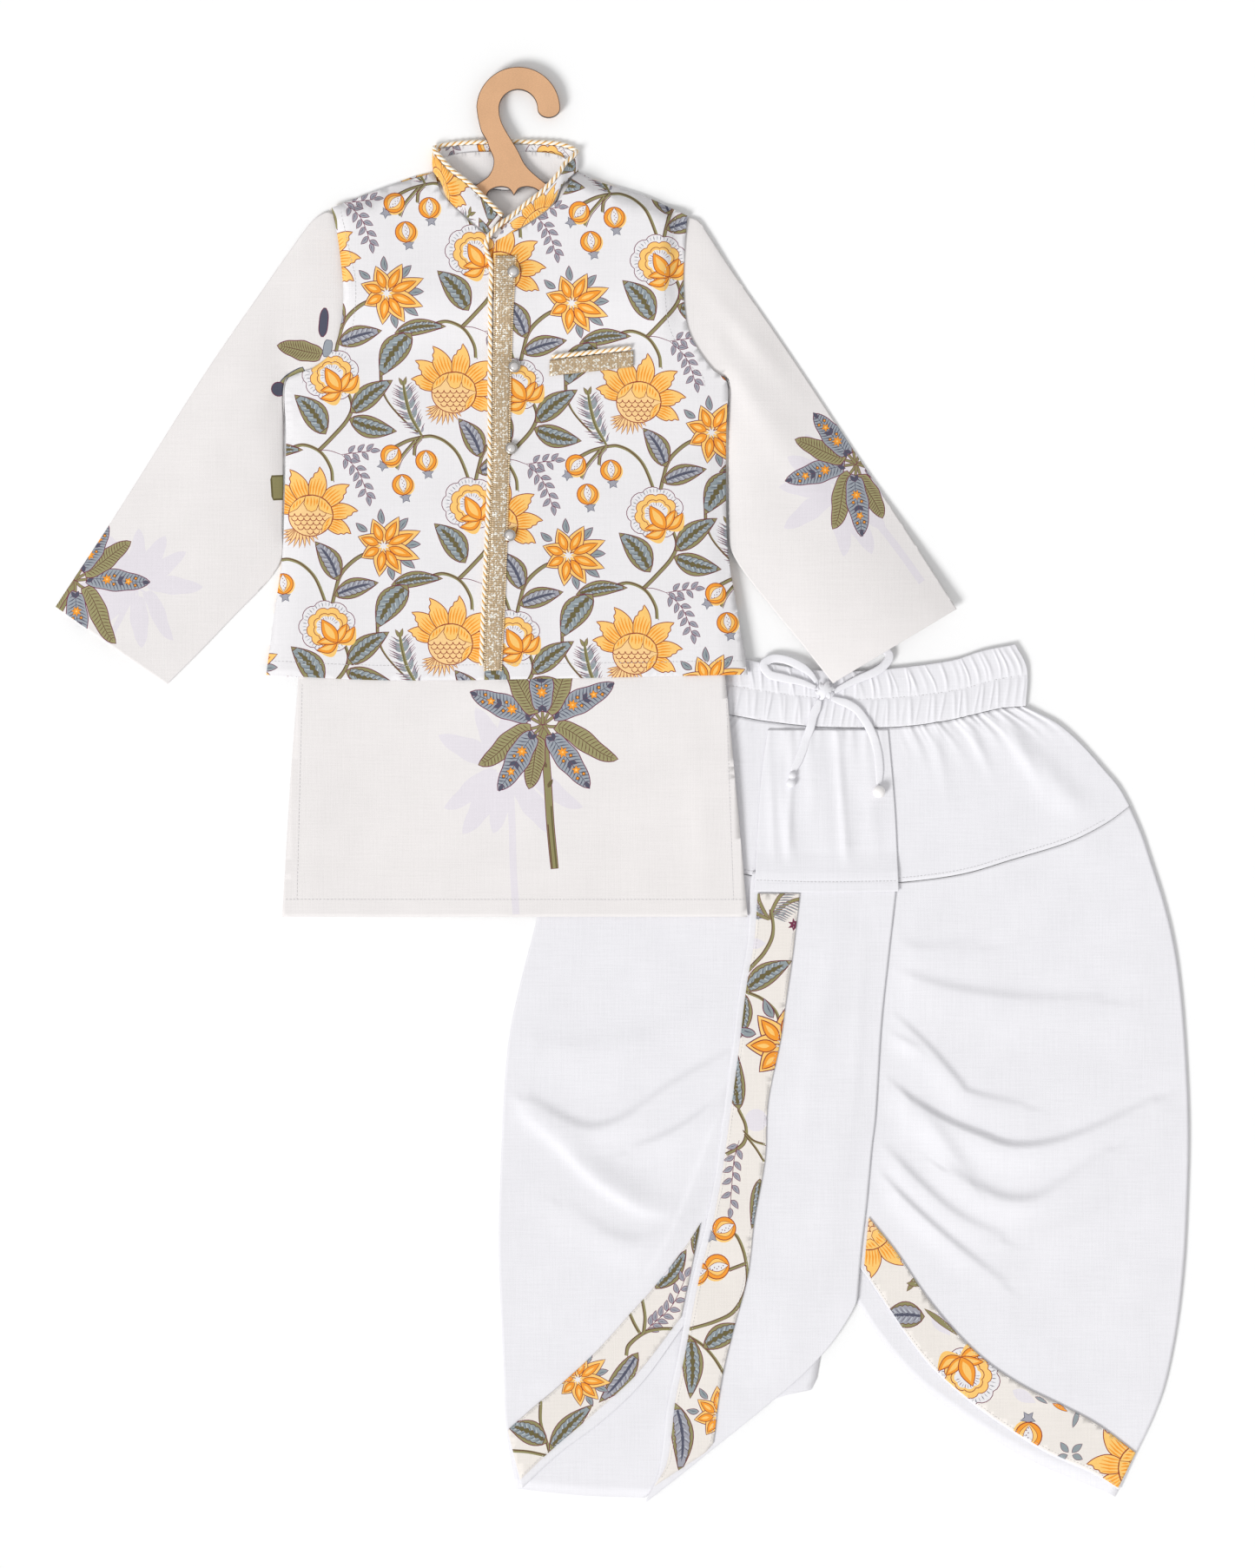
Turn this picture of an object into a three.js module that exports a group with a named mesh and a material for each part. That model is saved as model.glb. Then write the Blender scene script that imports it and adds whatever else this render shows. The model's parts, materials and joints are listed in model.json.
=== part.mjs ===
// Boy's festive set laid flat: printed sleeveless jacket over a long kurta on a small hanger, and a dhoti.
// Millimetres, +Z up, the surface that it lies on at z = 0, and the photo's top towards +Y.
import * as THREE from "three";

// Driving dimensions
const CLOTH = 1.0; // one layer of cloth
const GAP = 0.3; // clearance at seams and between layers
const STEP = CLOTH + GAP; // from one layer to the next
const BAND_CLOTH = 1.6; // collar and waistband, two layers sewn
const CENTRE_X = -87; // centre line of jacket and kurta
const HANGER_THICK = 4; // fibreboard sheet
const HANGER_Z = 3.9; // its underside, on the collars' backs
const HANGER_HALF = 99; // half its width
const HANGER_BUMP = 6.0; // how far it lifts the cloth above it
const LAP = STEP + 0.4; // rise of the front that lies over the other
const AIR = 0.6; // let in between layers where they come down together
const DHOTI_LIFT = 2.9; // kurta above the surface where it lies on the dhoti
const WAIST_LIFT = 3.7; // and further where it lies on the waistband
const DRAPE = 140; // run in which the upper pieces come down to the surface
const SLEEVE_PUFF = 4; // height of air in a sleeve
const ROPE_R = 1.8; // twisted trim, 3.6 across
const GATHERS = 44; // across the waistband
const GATHER_RISE = 1.0;
const FOLD_SPREAD = 11; // half width of a cowl fold
const TIE_THICK = 1.2;
const TIE_WIDE = 6.4;
const TIE_NARROW = 3.4; // where it enters the knot
const BUTTON_R = 4.5;
const BUTTON_RISE = 3.4;

const FRONT_Z = STEP; // second layer of the dhoti
const PANEL_Z = 2 * STEP; // third layer
const TRIM_Z = 3 * STEP; // fourth layer
const WAIST_FRONT_Z = BAND_CLOTH + GAP;
const WAIST_TOP_Z = WAIST_FRONT_Z + BAND_CLOTH + GATHER_RISE;
const BOW_Z = WAIST_TOP_Z + GAP;

const clamp = (t) => Math.min(1, Math.max(0, t));
const ramp = (x, from, to) => clamp((x - from) / (to - from));
const soft = (t) => clamp(t) * clamp(t) * (3 - 2 * clamp(t));
const mix = (a, b, t) => a + (b - a) * t;

const root = new THREE.Group();
root.name = "kurta_dhoti_set";

const materials = {};
function material(name, color, roughness, metalness) {
  materials[name] = new THREE.MeshStandardMaterial({ color, roughness, metalness });
}
material("kurta_cloth", 0xefecea, 0.9, 0);
material("jacket_print", 0xe9e2dc, 0.85, 0);
material("dhoti_cloth", 0xeeedf2, 0.9, 0);
material("border_print", 0xe6dcd2, 0.85, 0);
material("tie_cloth", 0xf0eff3, 0.9, 0);
material("gold_rope", 0xd9a441, 0.5, 0.3);
material("gold_lace", 0xc7a987, 0.55, 0.4);
material("button_metal", 0xd8d4cd, 0.3, 0.8);
material("hanger_board", 0xcd9b73, 0.7, 0);
material("bead_wood", 0xe8dccb, 0.6, 0);

function volume(positions, index) {
  let sum = 0;
  for (let i = 0; i < index.length; i += 3) {
    const [a, b, c] = [index[i], index[i + 1], index[i + 2]].map((k) => positions[k]);
    sum += a[0] * (b[1] * c[2] - b[2] * c[1]);
    sum += a[1] * (b[2] * c[0] - b[0] * c[2]);
    sum += a[2] * (b[0] * c[1] - b[1] * c[0]);
  }
  return sum;
}

// Adds a closed body, with its faces turned outwards.
function addBody(name, materialName, positions, index) {
  if (volume(positions, index) < 0) {
    for (let i = 0; i < index.length; i += 3) {
      [index[i + 1], index[i + 2]] = [index[i + 2], index[i + 1]];
    }
  }
  const geometry = new THREE.BufferGeometry();
  geometry.setAttribute("position", new THREE.Float32BufferAttribute(positions.flat(), 3));
  geometry.setIndex(index);
  addMesh(name, materialName, geometry);
}

function addMesh(name, materialName, geometry) {
  const mesh = new THREE.Mesh(geometry, materials[materialName]);
  mesh.name = name;
  root.add(mesh);
}

// The point of a table of [x, y] rows at the share t of its run, counted by x, by y or by length.
function pointOn(rows, t, by) {
  const runs = rows.map((_, i) => runOf(rows.slice(0, i + 1), by));
  const want = t * runs[runs.length - 1];
  let k = 1;
  while (k < rows.length - 1 && runs[k] < want) {
    k += 1;
  }
  const share = (want - runs[k - 1]) / Math.max(1e-9, runs[k] - runs[k - 1]);
  return [mix(rows[k - 1][0], rows[k][0], share), mix(rows[k - 1][1], rows[k][1], share)];
}

// A patch between four edges: left and right run upwards, bottom and top run to the right.
// The shape of the bottom edge dies out over the share bottomReach of the way up.
function patch({ left, right, bottom, top, sides = "y", ends = "x", bottomReach = 1 }) {
  return (u, v) => {
    const [l, r] = [pointOn(left, v, sides), pointOn(right, v, sides)];
    const [b, t] = [pointOn(bottom, u, ends), pointOn(top, u, ends)];
    const straight = (rows, k) => mix(rows[0][k], rows[rows.length - 1][k], u);
    const held = ramp(v, bottomReach, 0);
    return [0, 1].map(
      (k) => mix(l[k], r[k], u) + held * (b[k] - straight(bottom, k)) + v * (t[k] - straight(top, k)),
    );
  };
}

// The shares of a table's run at which its rows lie, with one more between rows that lie far apart.
function sharesOf(rows, by, widest) {
  const shares = rows.map((_, i) => {
    const upTo = rows.slice(0, i + 1);
    return runOf(upTo, by) / runOf(rows, by);
  });
  return shares.flatMap((share, i) => {
    const next = shares[i + 1];
    return next - share > widest ? [share, (share + next) / 2] : [share];
  });
}

function runOf(rows, by) {
  let run = 0;
  for (let i = 1; i < rows.length; i += 1) {
    const [dx, dy] = [0, 1].map((k) => Math.abs(rows[i][k] - rows[i - 1][k]));
    run += { x: dx, y: dy, length: Math.hypot(dx, dy) }[by];
  }
  return run;
}

function evenly(count) {
  return Array.from({ length: count + 1 }, (_, i) => i / count);
}

// A sheet over a grid of us and vs: its underside and its top are height functions of x, y, u and v.
function addSheet(name, materialName, { at, us, vs, under, over }) {
  const positions = [];
  const index = [];
  const wide = us.length;
  const count = wide * vs.length;
  for (const side of [under, over]) {
    for (const v of vs) {
      for (const u of us) {
        const [x, y] = at(u, v);
        positions.push([x, y, side(x, y, u, v)]);
      }
    }
  }
  const quad = (a, b, c, d) => index.push(a, b, c, a, c, d);
  for (let j = 0; j + 1 < vs.length; j += 1) {
    for (let i = 0; i + 1 < wide; i += 1) {
      const a = j * wide + i;
      quad(a, a + wide, a + wide + 1, a + 1);
      quad(count + a, count + a + 1, count + a + wide + 1, count + a + wide);
    }
  }
  for (let i = 0; i + 1 < wide; i += 1) {
    const far = (vs.length - 1) * wide + i;
    quad(i, i + 1, count + i + 1, count + i);
    quad(far + 1, far, count + far, count + far + 1);
  }
  for (let j = 0; j + 1 < vs.length; j += 1) {
    const near = j * wide;
    const far = near + wide - 1;
    quad(near + wide, near, count + near, count + near + wide);
    quad(far, far + wide, count + far + wide, count + far);
  }
  addBody(name, materialName, positions, index);
}

// Joins rings of points into one body: a single ring list is closed at its ends, two lists make a tube.
function addRings(name, materialName, outer, inner) {
  const positions = [];
  const index = [];
  const around = outer[0].length;
  const last = outer.length - 1;
  const skin = (rings, turned) => {
    const start = positions.length;
    rings.forEach((ring) => positions.push(...ring));
    for (let j = 0; j < last; j += 1) {
      for (let i = 0; i < around; i += 1) {
        const a = start + j * around + i;
        const b = start + j * around + ((i + 1) % around);
        const [c, d] = [b + around, a + around];
        index.push(...(turned ? [a, c, b, a, d, c] : [a, b, c, a, c, d]));
      }
    }
    return start;
  };
  const first = skin(outer, false);
  if (inner) {
    const second = skin(inner, true);
    for (const [row, turned] of [[0, true], [last, false]]) {
      for (let i = 0; i < around; i += 1) {
        const next = (i + 1) % around;
        const [a, b] = [first + row * around + i, first + row * around + next];
        const [c, d] = [second + row * around + next, second + row * around + i];
        index.push(...(turned ? [a, c, b, a, d, c] : [a, b, c, a, c, d]));
      }
    }
  } else {
    for (let i = 1; i + 1 < around; i += 1) {
      index.push(0, i + 1, i);
      index.push(last * around, last * around + i, last * around + i + 1);
    }
  }
  addBody(name, materialName, positions, index);
}

// A turned body about a vertical axis, from rows of [radius, height].
function addTurned(name, materialName, [x, y, z], rows, sides) {
  const rings = rows.map(([radius, height]) =>
    evenly(sides)
      .slice(0, sides)
      .map((t) => [
        x + radius * Math.cos(2 * Math.PI * t),
        y + radius * Math.sin(2 * Math.PI * t),
        z + height,
      ]),
  );
  addRings(name, materialName, rings);
}

// A round trim through rows of [x, y, z], with a ring at each row and one between.
function addTube(name, materialName, rows, radius, sides) {
  const curve = new THREE.CatmullRomCurve3(
    rows.map((row) => new THREE.Vector3(...row)),
    false,
    "centripetal",
  );
  const up = new THREE.Vector3(0, 0, 1);
  const rings = evenly(2 * (rows.length - 1)).map((t) => {
    const centre = curve.getPoint(t);
    const along = curve.getTangent(t);
    const side = new THREE.Vector3().crossVectors(along, up).normalize();
    const over = new THREE.Vector3().crossVectors(side, along);
    return evenly(sides)
      .slice(0, sides)
      .map((turn) => {
        const angle = 2 * Math.PI * turn;
        const point = centre.clone();
        point.addScaledVector(side, radius * Math.cos(angle));
        point.addScaledVector(over, radius * Math.sin(angle));
        return point.toArray();
      });
  });
  addRings(name, materialName, rings);
}

// Outlines of the upper pieces, rows of [x, y]
const jacketLeft = [
  [-266, 83], [-260, 129], [-254, 172], [-252, 224], [-251, 263], [-251, 302],
  [-233, 311], [-217, 324], [-210, 345], [-208, 368], [-210, 393], [-213, 414], [-217, 432],
];
const jacketRight = [
  [94, 83], [86, 132], [80, 169], [78, 198], [78, 263], [79, 300],
  [68, 311], [54, 331], [48, 348], [46, 374], [47, 403], [49, 426],
];
const jacketShoulderLeft = [[-217, 432], [-179, 447], [-140, 459]];
const jacketShoulderRight = [[-35, 459], [-21, 453], [17, 441], [49, 426]];
const jacketNeckBack = [[-87, 453]];
const frontEdgeLeft = [
  [-90, 79], [-88, 140], [-84, 234], [-83, 354], [-82, 398],
  [-104, 413], [-121, 428], [-135, 443], [-140, 459],
];
const frontEdgeRight = [
  [-102.7, 79], [-100.7, 140], [-96.7, 234], [-95.7, 354], [-94.7, 404],
  [-81, 412], [-66, 421], [-52, 432], [-42, 444], [-35, 459],
];
const kurtaLeft = [
  [-254, -98], [-248, 3], [-242, 79], [-240, 133], [-238, 198], [-237, 250], [-237, 297],
  [-211, 320], [-204, 346], [-203, 374], [-204, 400], [-205.5, 412], [-207, 424],
];
const kurtaRight = [
  [94, -98], [86, -10], [77, 82], [69, 140], [64, 198], [63, 250], [64, 297],
  [46, 320], [38, 346], [37, 374], [38, 400], [39, 412], [40, 424],
];
const kurtaHem = [[-254, -98], [94, -98]];
const kurtaNeckFront = [
  [-207, 424], [-137, 452], [-131, 436], [-114, 418], [-86, 403], [-62, 418], [-46, 436], [-38, 452],
  [40, 424],
];
const kurtaNeckBack = [
  [-207, 424], [-137, 452], [-87, 445], [-38, 452], [40, 424],
];

// How far the upper pieces lie above the surface, on the dhoti and where they come down from it
const DHOTI_EDGE = { x: 27, y: 106, dx: -0.417, dy: -0.909 };
function lift(x, y) {
  const beside = (x - DHOTI_EDGE.x) * DHOTI_EDGE.dy - (y - DHOTI_EDGE.y) * DHOTI_EDGE.dx;
  const across = soft(1 - beside / DRAPE);
  const above = soft(1 - (y - 110) / DRAPE);
  return across * above * (DHOTI_LIFT + WAIST_LIFT * soft((y + 90) / 134));
}
function air(x, y) {
  const share = lift(x, y) / (DHOTI_LIFT + WAIST_LIFT);
  return AIR * Math.sin(Math.PI * Math.sqrt(share));
}

// The share of the hanger's bump at a point: down to nothing at the shoulder and low on the chest.
// The jacket's bump is spread wider than the kurta's, and its shoulder lies higher.
const kurtaBump = { spread: 0, low: 364, high: 384, shoulderRise: 0 };
const jacketBump = { spread: 12, low: 326, high: 366, shoulderRise: 6 };
function overHanger(x, y, { spread, low, high, shoulderRise }) {
  const beyond = Math.abs(x - CENTRE_X) - HANGER_HALF;
  const slope = Math.abs(x - CENTRE_X) * 0.37;
  const fromShoulder = (470 + shoulderRise - slope - y) * 0.94;
  return ramp(beyond, 19 + spread, 5 + spread) * ramp(y, low, high) * ramp(fromShoulder, 0, 7);
}

const kurtaBackZ = (x, y) => lift(x, y) + air(x, y) + STEP * ramp(y, 28, 72);
const kurtaFrontZ = (x, y) =>
  kurtaBackZ(x, y) + air(x, y) + STEP + HANGER_BUMP * overHanger(x, y, kurtaBump);
// How far a jacket front stands over the kurta inside it: down to the jacket's back at the seams.
function overKurta(y, fromSide, fromShoulder) {
  const besideSeam = Math.max(ramp(fromSide, 0, 0.08), ramp(y, 250, 276));
  return besideSeam * Math.max(ramp(fromShoulder, 0, 0.02), ramp(fromSide, 0.2, 0.08));
}
function jacketFrontZ(x, y, fromSide, v) {
  const body = STEP + 2 * STEP * overKurta(y, fromSide, 1 - v);
  return lift(x, y) + 3 * air(x, y) + body + HANGER_BUMP * overHanger(x, y, jacketBump);
}
const jacketLeftZ = (x, y, u, v) => jacketFrontZ(x, y, u, v);
const jacketRightZ = (x, y, u, v) => jacketFrontZ(x, y, 1 - u, v) + LAP * ramp(u, 0.26, 0.1);

const raised = (height, by) => (x, y, u, v) => height(x, y, u, v) + by;
const level = (z) => () => z;

const KURTA_LOW = -98; // hem
const KURTA_LENGTH = 522;
const torsoHeights = [
  -98, -62, -26, 6, 40, 72, 104, 136, 168, 198, 224, 250, 274, 297, 320, 346, 374, 400, 412, 424,
];
const torsoRows = torsoHeights.map((y) => (y - KURTA_LOW) / KURTA_LENGTH);
const kurtaAt = patch({ left: kurtaLeft, right: kurtaRight, bottom: kurtaHem, top: kurtaNeckBack });
// The front has the back's points, but for the neck, which is cut lower.
const kurtaFrontAt = (u, v) => {
  const [x, y] = kurtaAt(u, v);
  const drop = pointOn(kurtaNeckBack, u, "x")[1] - pointOn(kurtaNeckFront, u, "x")[1];
  return [x, y - drop * ramp(v, 0.78, 1)];
};
const kurtaColumns = [
  0, 0.06, 0.15, 0.2834, 0.3077, 0.3765, 0.4899, 0.587, 0.6518, 0.668, 0.6842, 0.8, 0.905, 0.955, 1,
];
addSheet("kurta_back", "kurta_cloth", {
  at: kurtaAt,
  us: kurtaColumns,
  vs: torsoRows,
  under: kurtaBackZ,
  over: raised(kurtaBackZ, CLOTH),
});
addSheet("kurta_front", "kurta_cloth", {
  at: kurtaFrontAt,
  us: kurtaColumns,
  vs: torsoRows,
  under: kurtaFrontZ,
  over: raised(kurtaFrontZ, CLOTH),
});
addSheet("jacket_back", "jacket_print", {
  at: patch({
    left: jacketLeft,
    right: jacketRight,
    bottom: [[-266, 83], [-186, 79], [3, 81], [94, 83]],
    top: [...jacketShoulderLeft, ...jacketNeckBack, ...jacketShoulderRight],
  }),
  us: [0, 0.14, 0.2895, 0.39, 0.4887, 0.59, 0.6842, 0.84, 1],
  vs: [0, 0.08, 0.16, 0.24, 0.32, 0.4, 0.49, 0.58, 0.66, 0.74, 0.81, 0.87, 0.92, 0.96, 1],
  under: lift,
  over: raised(lift, CLOTH),
});
const jacketRows = [
  0, 0.07, 0.14, 0.21, 0.28, 0.36, 0.44, 0.52, 0.6, 0.67, 0.735, 0.787, 0.84, 0.9, 0.94, 0.965, 0.98, 1,
];
addSheet("jacket_front_left", "jacket_print", {
  at: patch({
    left: jacketLeft,
    right: frontEdgeLeft,
    bottom: [[-266, 83], [-186, 79], [-90, 79]],
    top: jacketShoulderLeft,
  }),
  us: [0, 0.08, 0.2, 0.36, 0.52, 0.68, 0.84, 1],
  vs: jacketRows,
  under: jacketLeftZ,
  over: raised(jacketLeftZ, CLOTH),
});
addSheet("jacket_front_right", "jacket_print", {
  at: patch({
    left: frontEdgeRight,
    right: jacketRight,
    bottom: [[-102.7, 79], [3, 81], [94, 83]],
    top: jacketShoulderRight,
  }),
  us: [0, 0.1, 0.26, 0.42, 0.58, 0.75, 0.92, 1],
  vs: jacketRows,
  under: jacketRightZ,
  over: raised(jacketRightZ, CLOTH),
});

// Sleeves: flattened tubes from the armhole to the open cuff. The armhole edge runs from the shoulder down.
const sleeves = [
  {
    name: "kurta_sleeve_left",
    armhole: [
      [-207.8, 424], [-206.2, 412], [-204.7, 400], [-203.7, 374], [-204.7, 346], [-211.8, 320.4],
      [-237.9, 297.8],
    ],
    cuff: [[-423.7, 134], [-340, 76]],
    shoulderEdge: [
      [-207.8, 424], [-218, 429], [-224, 428], [-233, 421], [-250, 398], [-269, 371], [-313, 307],
      [-376, 207],
      [-423.7, 134],
    ],
    underEdge: [
      [-237.9, 297.8], [-249, 306.5], [-253.6, 296], [-253, 263], [-254, 198], [-257, 164],
      [-295, 122], [-317, 99],
      [-340, 76],
    ],
  },
  {
    name: "kurta_sleeve_right",
    armhole: [
      [40.8, 424], [39.7, 412], [38.7, 400], [37.7, 374], [38.7, 346], [46.8, 320.4], [64.9, 297.8],
    ],
    cuff: [[250, 132], [157.5, 76.5]],
    shoulderEdge: [
      [40.8, 424], [50, 425], [57, 423], [63, 415], [80, 389], [112, 343], [143, 297], [206, 201],
      [250, 132],
    ],
    underEdge: [
      [64.9, 297.8], [76, 306.5], [81.4, 296], [80, 263], [80, 198], [84, 171], [112, 133], [135, 105],
      [157.5, 76.5],
    ],
  },
];
for (const { name, armhole, cuff, shoulderEdge, underEdge } of sleeves) {
  const at = patch({
    left: shoulderEdge,
    right: underEdge,
    bottom: armhole,
    top: cuff,
    sides: "length",
    ends: "length",
    bottomReach: 0.12,
  });
  const across = sharesOf(armhole, "length", 0.22);
  const along = sharesOf(underEdge, "length", 0.11);
  const rings = (inset) =>
    along.map((v) => {
      const point = (u, over) => {
        const held = mix(inset, 1 - inset, u);
        const [x, y] = at(held, v);
        const floor = lift(x, y) + STEP * ramp(v, 0.22, 0.1);
        const puff = SLEEVE_PUFF * Math.sin(Math.PI * held) * ramp(v, 0.12, 0.4);
        const skin = inset > 0 ? CLOTH : 0;
        return [x, y, over ? floor + CLOTH + STEP + puff - skin : floor + skin];
      };
      return [...across.map((u) => point(u, false)), ...[...across].reverse().map((u) => point(u, true))];
    });
  addRings(name, "kurta_cloth", rings(0), rings(0.02));
}

// Collars: bands from the neck seam (seamX, seamY) to the free edge (edgeX, edgeY), rolled round both sides
// z is the middle of the band, and turn is the way that its outer face looks: 0 up, 90 sideways, 180 down.
const jacketCollar = {
  columns: ["seamX", "seamY", "edgeX", "edgeY", "z", "turn"],
  rows: [
    [-100, 411.5, -90.5, 424, 10.7, 0],
    [-120.5, 428.6, -113, 446, 10.7, 0],
    [-130, 438.5, -128, 458, 10.3, -20],
    [-134.6, 450.5, -136, 467, 8.4, -60],
    [-140.5, 460, -140.5, 474, 4.8, -90],
    [-137, 461, -138, 476, 2.2, -140],
    [-128, 459.2, -129, 478, 0.8, -180],
    [-114, 457.4, -114, 479.5, 0.8, -180],
    [-87, 454, -87, 480, 0.8, -180],
    [-59, 457.4, -59, 479.5, 0.8, -180],
    [-46, 459.2, -45, 478, 0.8, -180],
    [-37, 461, -36, 474, 2.2, -220],
    [-33.5, 460, -34, 471, 4.8, -270],
    [-41, 452, -41.5, 463, 8.4, -300],
    [-46, 446, -45.5, 456, 10.9, -345],
    [-52.7, 432.8, -57, 443, 11.3, -360],
    [-66.5, 421.8, -70, 433, 11.9, -360],
    [-81.5, 412.8, -81, 423.5, 12.0, -360],
    [-95, 406, -87.6, 417.4, 12.0, -360],
  ],
};
const kurtaCollar = {
  columns: jacketCollar.columns,
  rows: [
    [-88, 405, -86, 412, 9.1, 0],
    [-113.5, 419, -107, 430, 9.1, 0],
    [-127, 433, -121, 440, 9.1, -10],
    [-130, 446, -127.5, 452, 8.0, -35],
    [-134.4, 455, -134.4, 467, 5.8, -90],
    [-131, 454.5, -132, 470, 3.3, -140],
    [-124, 451.5, -124, 472.5, 2.4, -180],
    [-111, 449.6, -111, 474, 2.4, -180],
    [-87, 445.8, -87, 474.5, 2.4, -180],
    [-62, 449.8, -62, 474, 2.4, -180],
    [-50, 451.6, -50, 472.5, 2.4, -180],
    [-43.6, 454.5, -42.6, 469, 3.3, -220],
    [-41, 455, -41, 465, 5.8, -270],
    [-45.8, 446, -47.5, 452, 8.0, -325],
    [-50.5, 434.6, -54, 440, 9.1, -350],
    [-64, 420, -68, 430, 9.1, -360],
    [-85, 404.5, -83, 412, 9.1, -360],
  ],
};
function band({ rows }, thick) {
  return rows.map(([seamX, seamY, edgeX, edgeY, z, turn]) => {
    const angle = THREE.MathUtils.degToRad(turn);
    const [nx, nz] = [(Math.sin(angle) * thick) / 2, (Math.cos(angle) * thick) / 2];
    return [
      [seamX - nx, seamY, z - nz],
      [edgeX - nx, edgeY, z - nz],
      [edgeX + nx, edgeY, z + nz],
      [seamX + nx, seamY, z + nz],
    ];
  });
}
addRings("jacket_collar", "jacket_print", band(jacketCollar, BAND_CLOTH));
addRings("kurta_collar", "kurta_cloth", band(kurtaCollar, CLOTH));

// The rope trim follows the collar's free edge, then runs down the edge of the lapped front.
const ropeDown = [
  [-92.6, 417], [-100, 408], [-101, 399], [-98, 391], [-97.4, 383], [-97.6, 374], [-98, 366], [-98.2, 358],
  [-98.2, 350], [-98.2, 338], [-98.4, 308], [-98.7, 263], [-99, 232], [-100.5, 194], [-102, 162],
  [-103.4, 129],
  [-104.6, 97], [-104.9, 90],
];
const collarEdge = jacketCollar.rows.map(([, , x, y, z]) => new THREE.Vector3(x, y, z));
const ropeUpper = collarEdge.slice(0, -1).map((edge, i) => {
  const [seamX, seamY] = jacketCollar.rows[i];
  const along = collarEdge[i + 1].clone().sub(collarEdge[Math.max(0, i - 1)]).normalize();
  const out = edge.clone().sub(new THREE.Vector3(seamX, seamY, edge.z));
  out.addScaledVector(along, -out.dot(along)).setLength(ROPE_R + 3 * GAP);
  const [x, y, z] = edge.clone().add(out).toArray();
  return [x, y, Math.max(z, ROPE_R)];
});
const ropeLower = ropeDown.map(([x, y]) => {
  const base = lift(x, y) + 3 * STEP + HANGER_BUMP * overHanger(x, y, jacketBump) + 3 * air(x, y);
  const overCollar = BAND_CLOTH * ramp(y, 396, 408);
  return [x, y, base + CLOTH + 2 * GAP + ROPE_R + overCollar];
});
addTube("jacket_rope_trim", "gold_rope", [...ropeUpper, ...ropeLower], ROPE_R, 6);

// Lace placket on the lapped front, rows of [height on the front, left edge, right edge]
const laceRows = [
  [86, -102, -90.5],
  [140, -100.2, -88],
  [234, -96.2, -85],
  [328, -94.9, -83],
  [395, -93.8, -79.5],
];
const laceAt = patch({
  left: laceRows.map(([y, x]) => [x, y]),
  right: laceRows.map(([y, , x]) => [x, y]),
  bottom: [[-102, 86], [-90.5, 86]],
  top: [[-93.8, 395], [-79.5, 395]],
});
const [laceLow, laceHigh] = [laceRows[0][0], laceRows[laceRows.length - 1][0]];
const [frontLow, frontHigh] = [frontEdgeRight[0][1], frontEdgeRight[frontEdgeRight.length - 1][1]];
const laceShare = (v) => (mix(frontLow, frontHigh, v) - laceLow) / (laceHigh - laceLow);
const LACE_GAP = 1.5 * GAP;
const laceZ = (x, y) => {
  const overJacket = 3 * STEP + LAP + HANGER_BUMP * overHanger(x, y, jacketBump) + CLOTH;
  return lift(x, y) + 3 * air(x, y) + overJacket + LACE_GAP;
};
addSheet("jacket_placket_lace", "gold_lace", {
  at: laceAt,
  us: [0, 1],
  vs: [0, ...jacketRows.map(laceShare).filter((v) => v > 0 && v < 1), 1],
  under: laceZ,
  over: raised(laceZ, CLOTH),
});
const buttons = [
  { name: "button_1", x: -80.8, y: 383 },
  { name: "button_2", x: -80.2, y: 313 },
  { name: "button_3", x: -82.5, y: 252 },
  { name: "button_4", x: -83.6, y: 187 },
];
const buttonProfile = [
  [BUTTON_R * 0.86, 0],
  [BUTTON_R, 0.16],
  [BUTTON_R * 0.94, 0.42],
  [BUTTON_R * 0.72, 0.76],
  [BUTTON_R * 0.38, 0.95],
  [BUTTON_R * 0.1, 1],
].map(([radius, share]) => [radius, share * BUTTON_RISE]);
for (const { name, x, y } of buttons) {
  const under = Math.max(...[-1, 0, 1].map((k) => laceZ(x, y + k * BUTTON_R)));
  addTurned(name, "button_metal", [x, y, under + CLOTH + 1.5 * GAP], buttonProfile, 14);
}

const pocket = { left: -54, right: 8.5, lowLeft: 306, lowRight: 313, high: 12.2, rise: 1.2, lap: 0.26 };
const pocketAt = (u, v) => [
  mix(pocket.left, pocket.right, u),
  mix(pocket.lowLeft, pocket.lowRight, u) + v * pocket.high,
];
const pocketZ = 3 * STEP + CLOTH + GAP + pocket.lap;
addSheet("jacket_pocket_welt", "gold_lace", {
  at: pocketAt,
  us: evenly(4),
  vs: [0, 1],
  under: level(pocketZ),
  over: level(pocketZ + pocket.rise),
});
const pocketMiddle = (pocket.left + pocket.right) / 2;
addTube(
  "jacket_pocket_rope",
  "gold_rope",
  [0, 0.33, 0.67, 1].map((u) => {
    const [x, y] = pocketAt(u, 1);
    return [mix(x, pocketMiddle, -0.03), y + ROPE_R + 2 * GAP, pocketZ + ROPE_R];
  }),
  ROPE_R,
  6,
);

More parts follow.
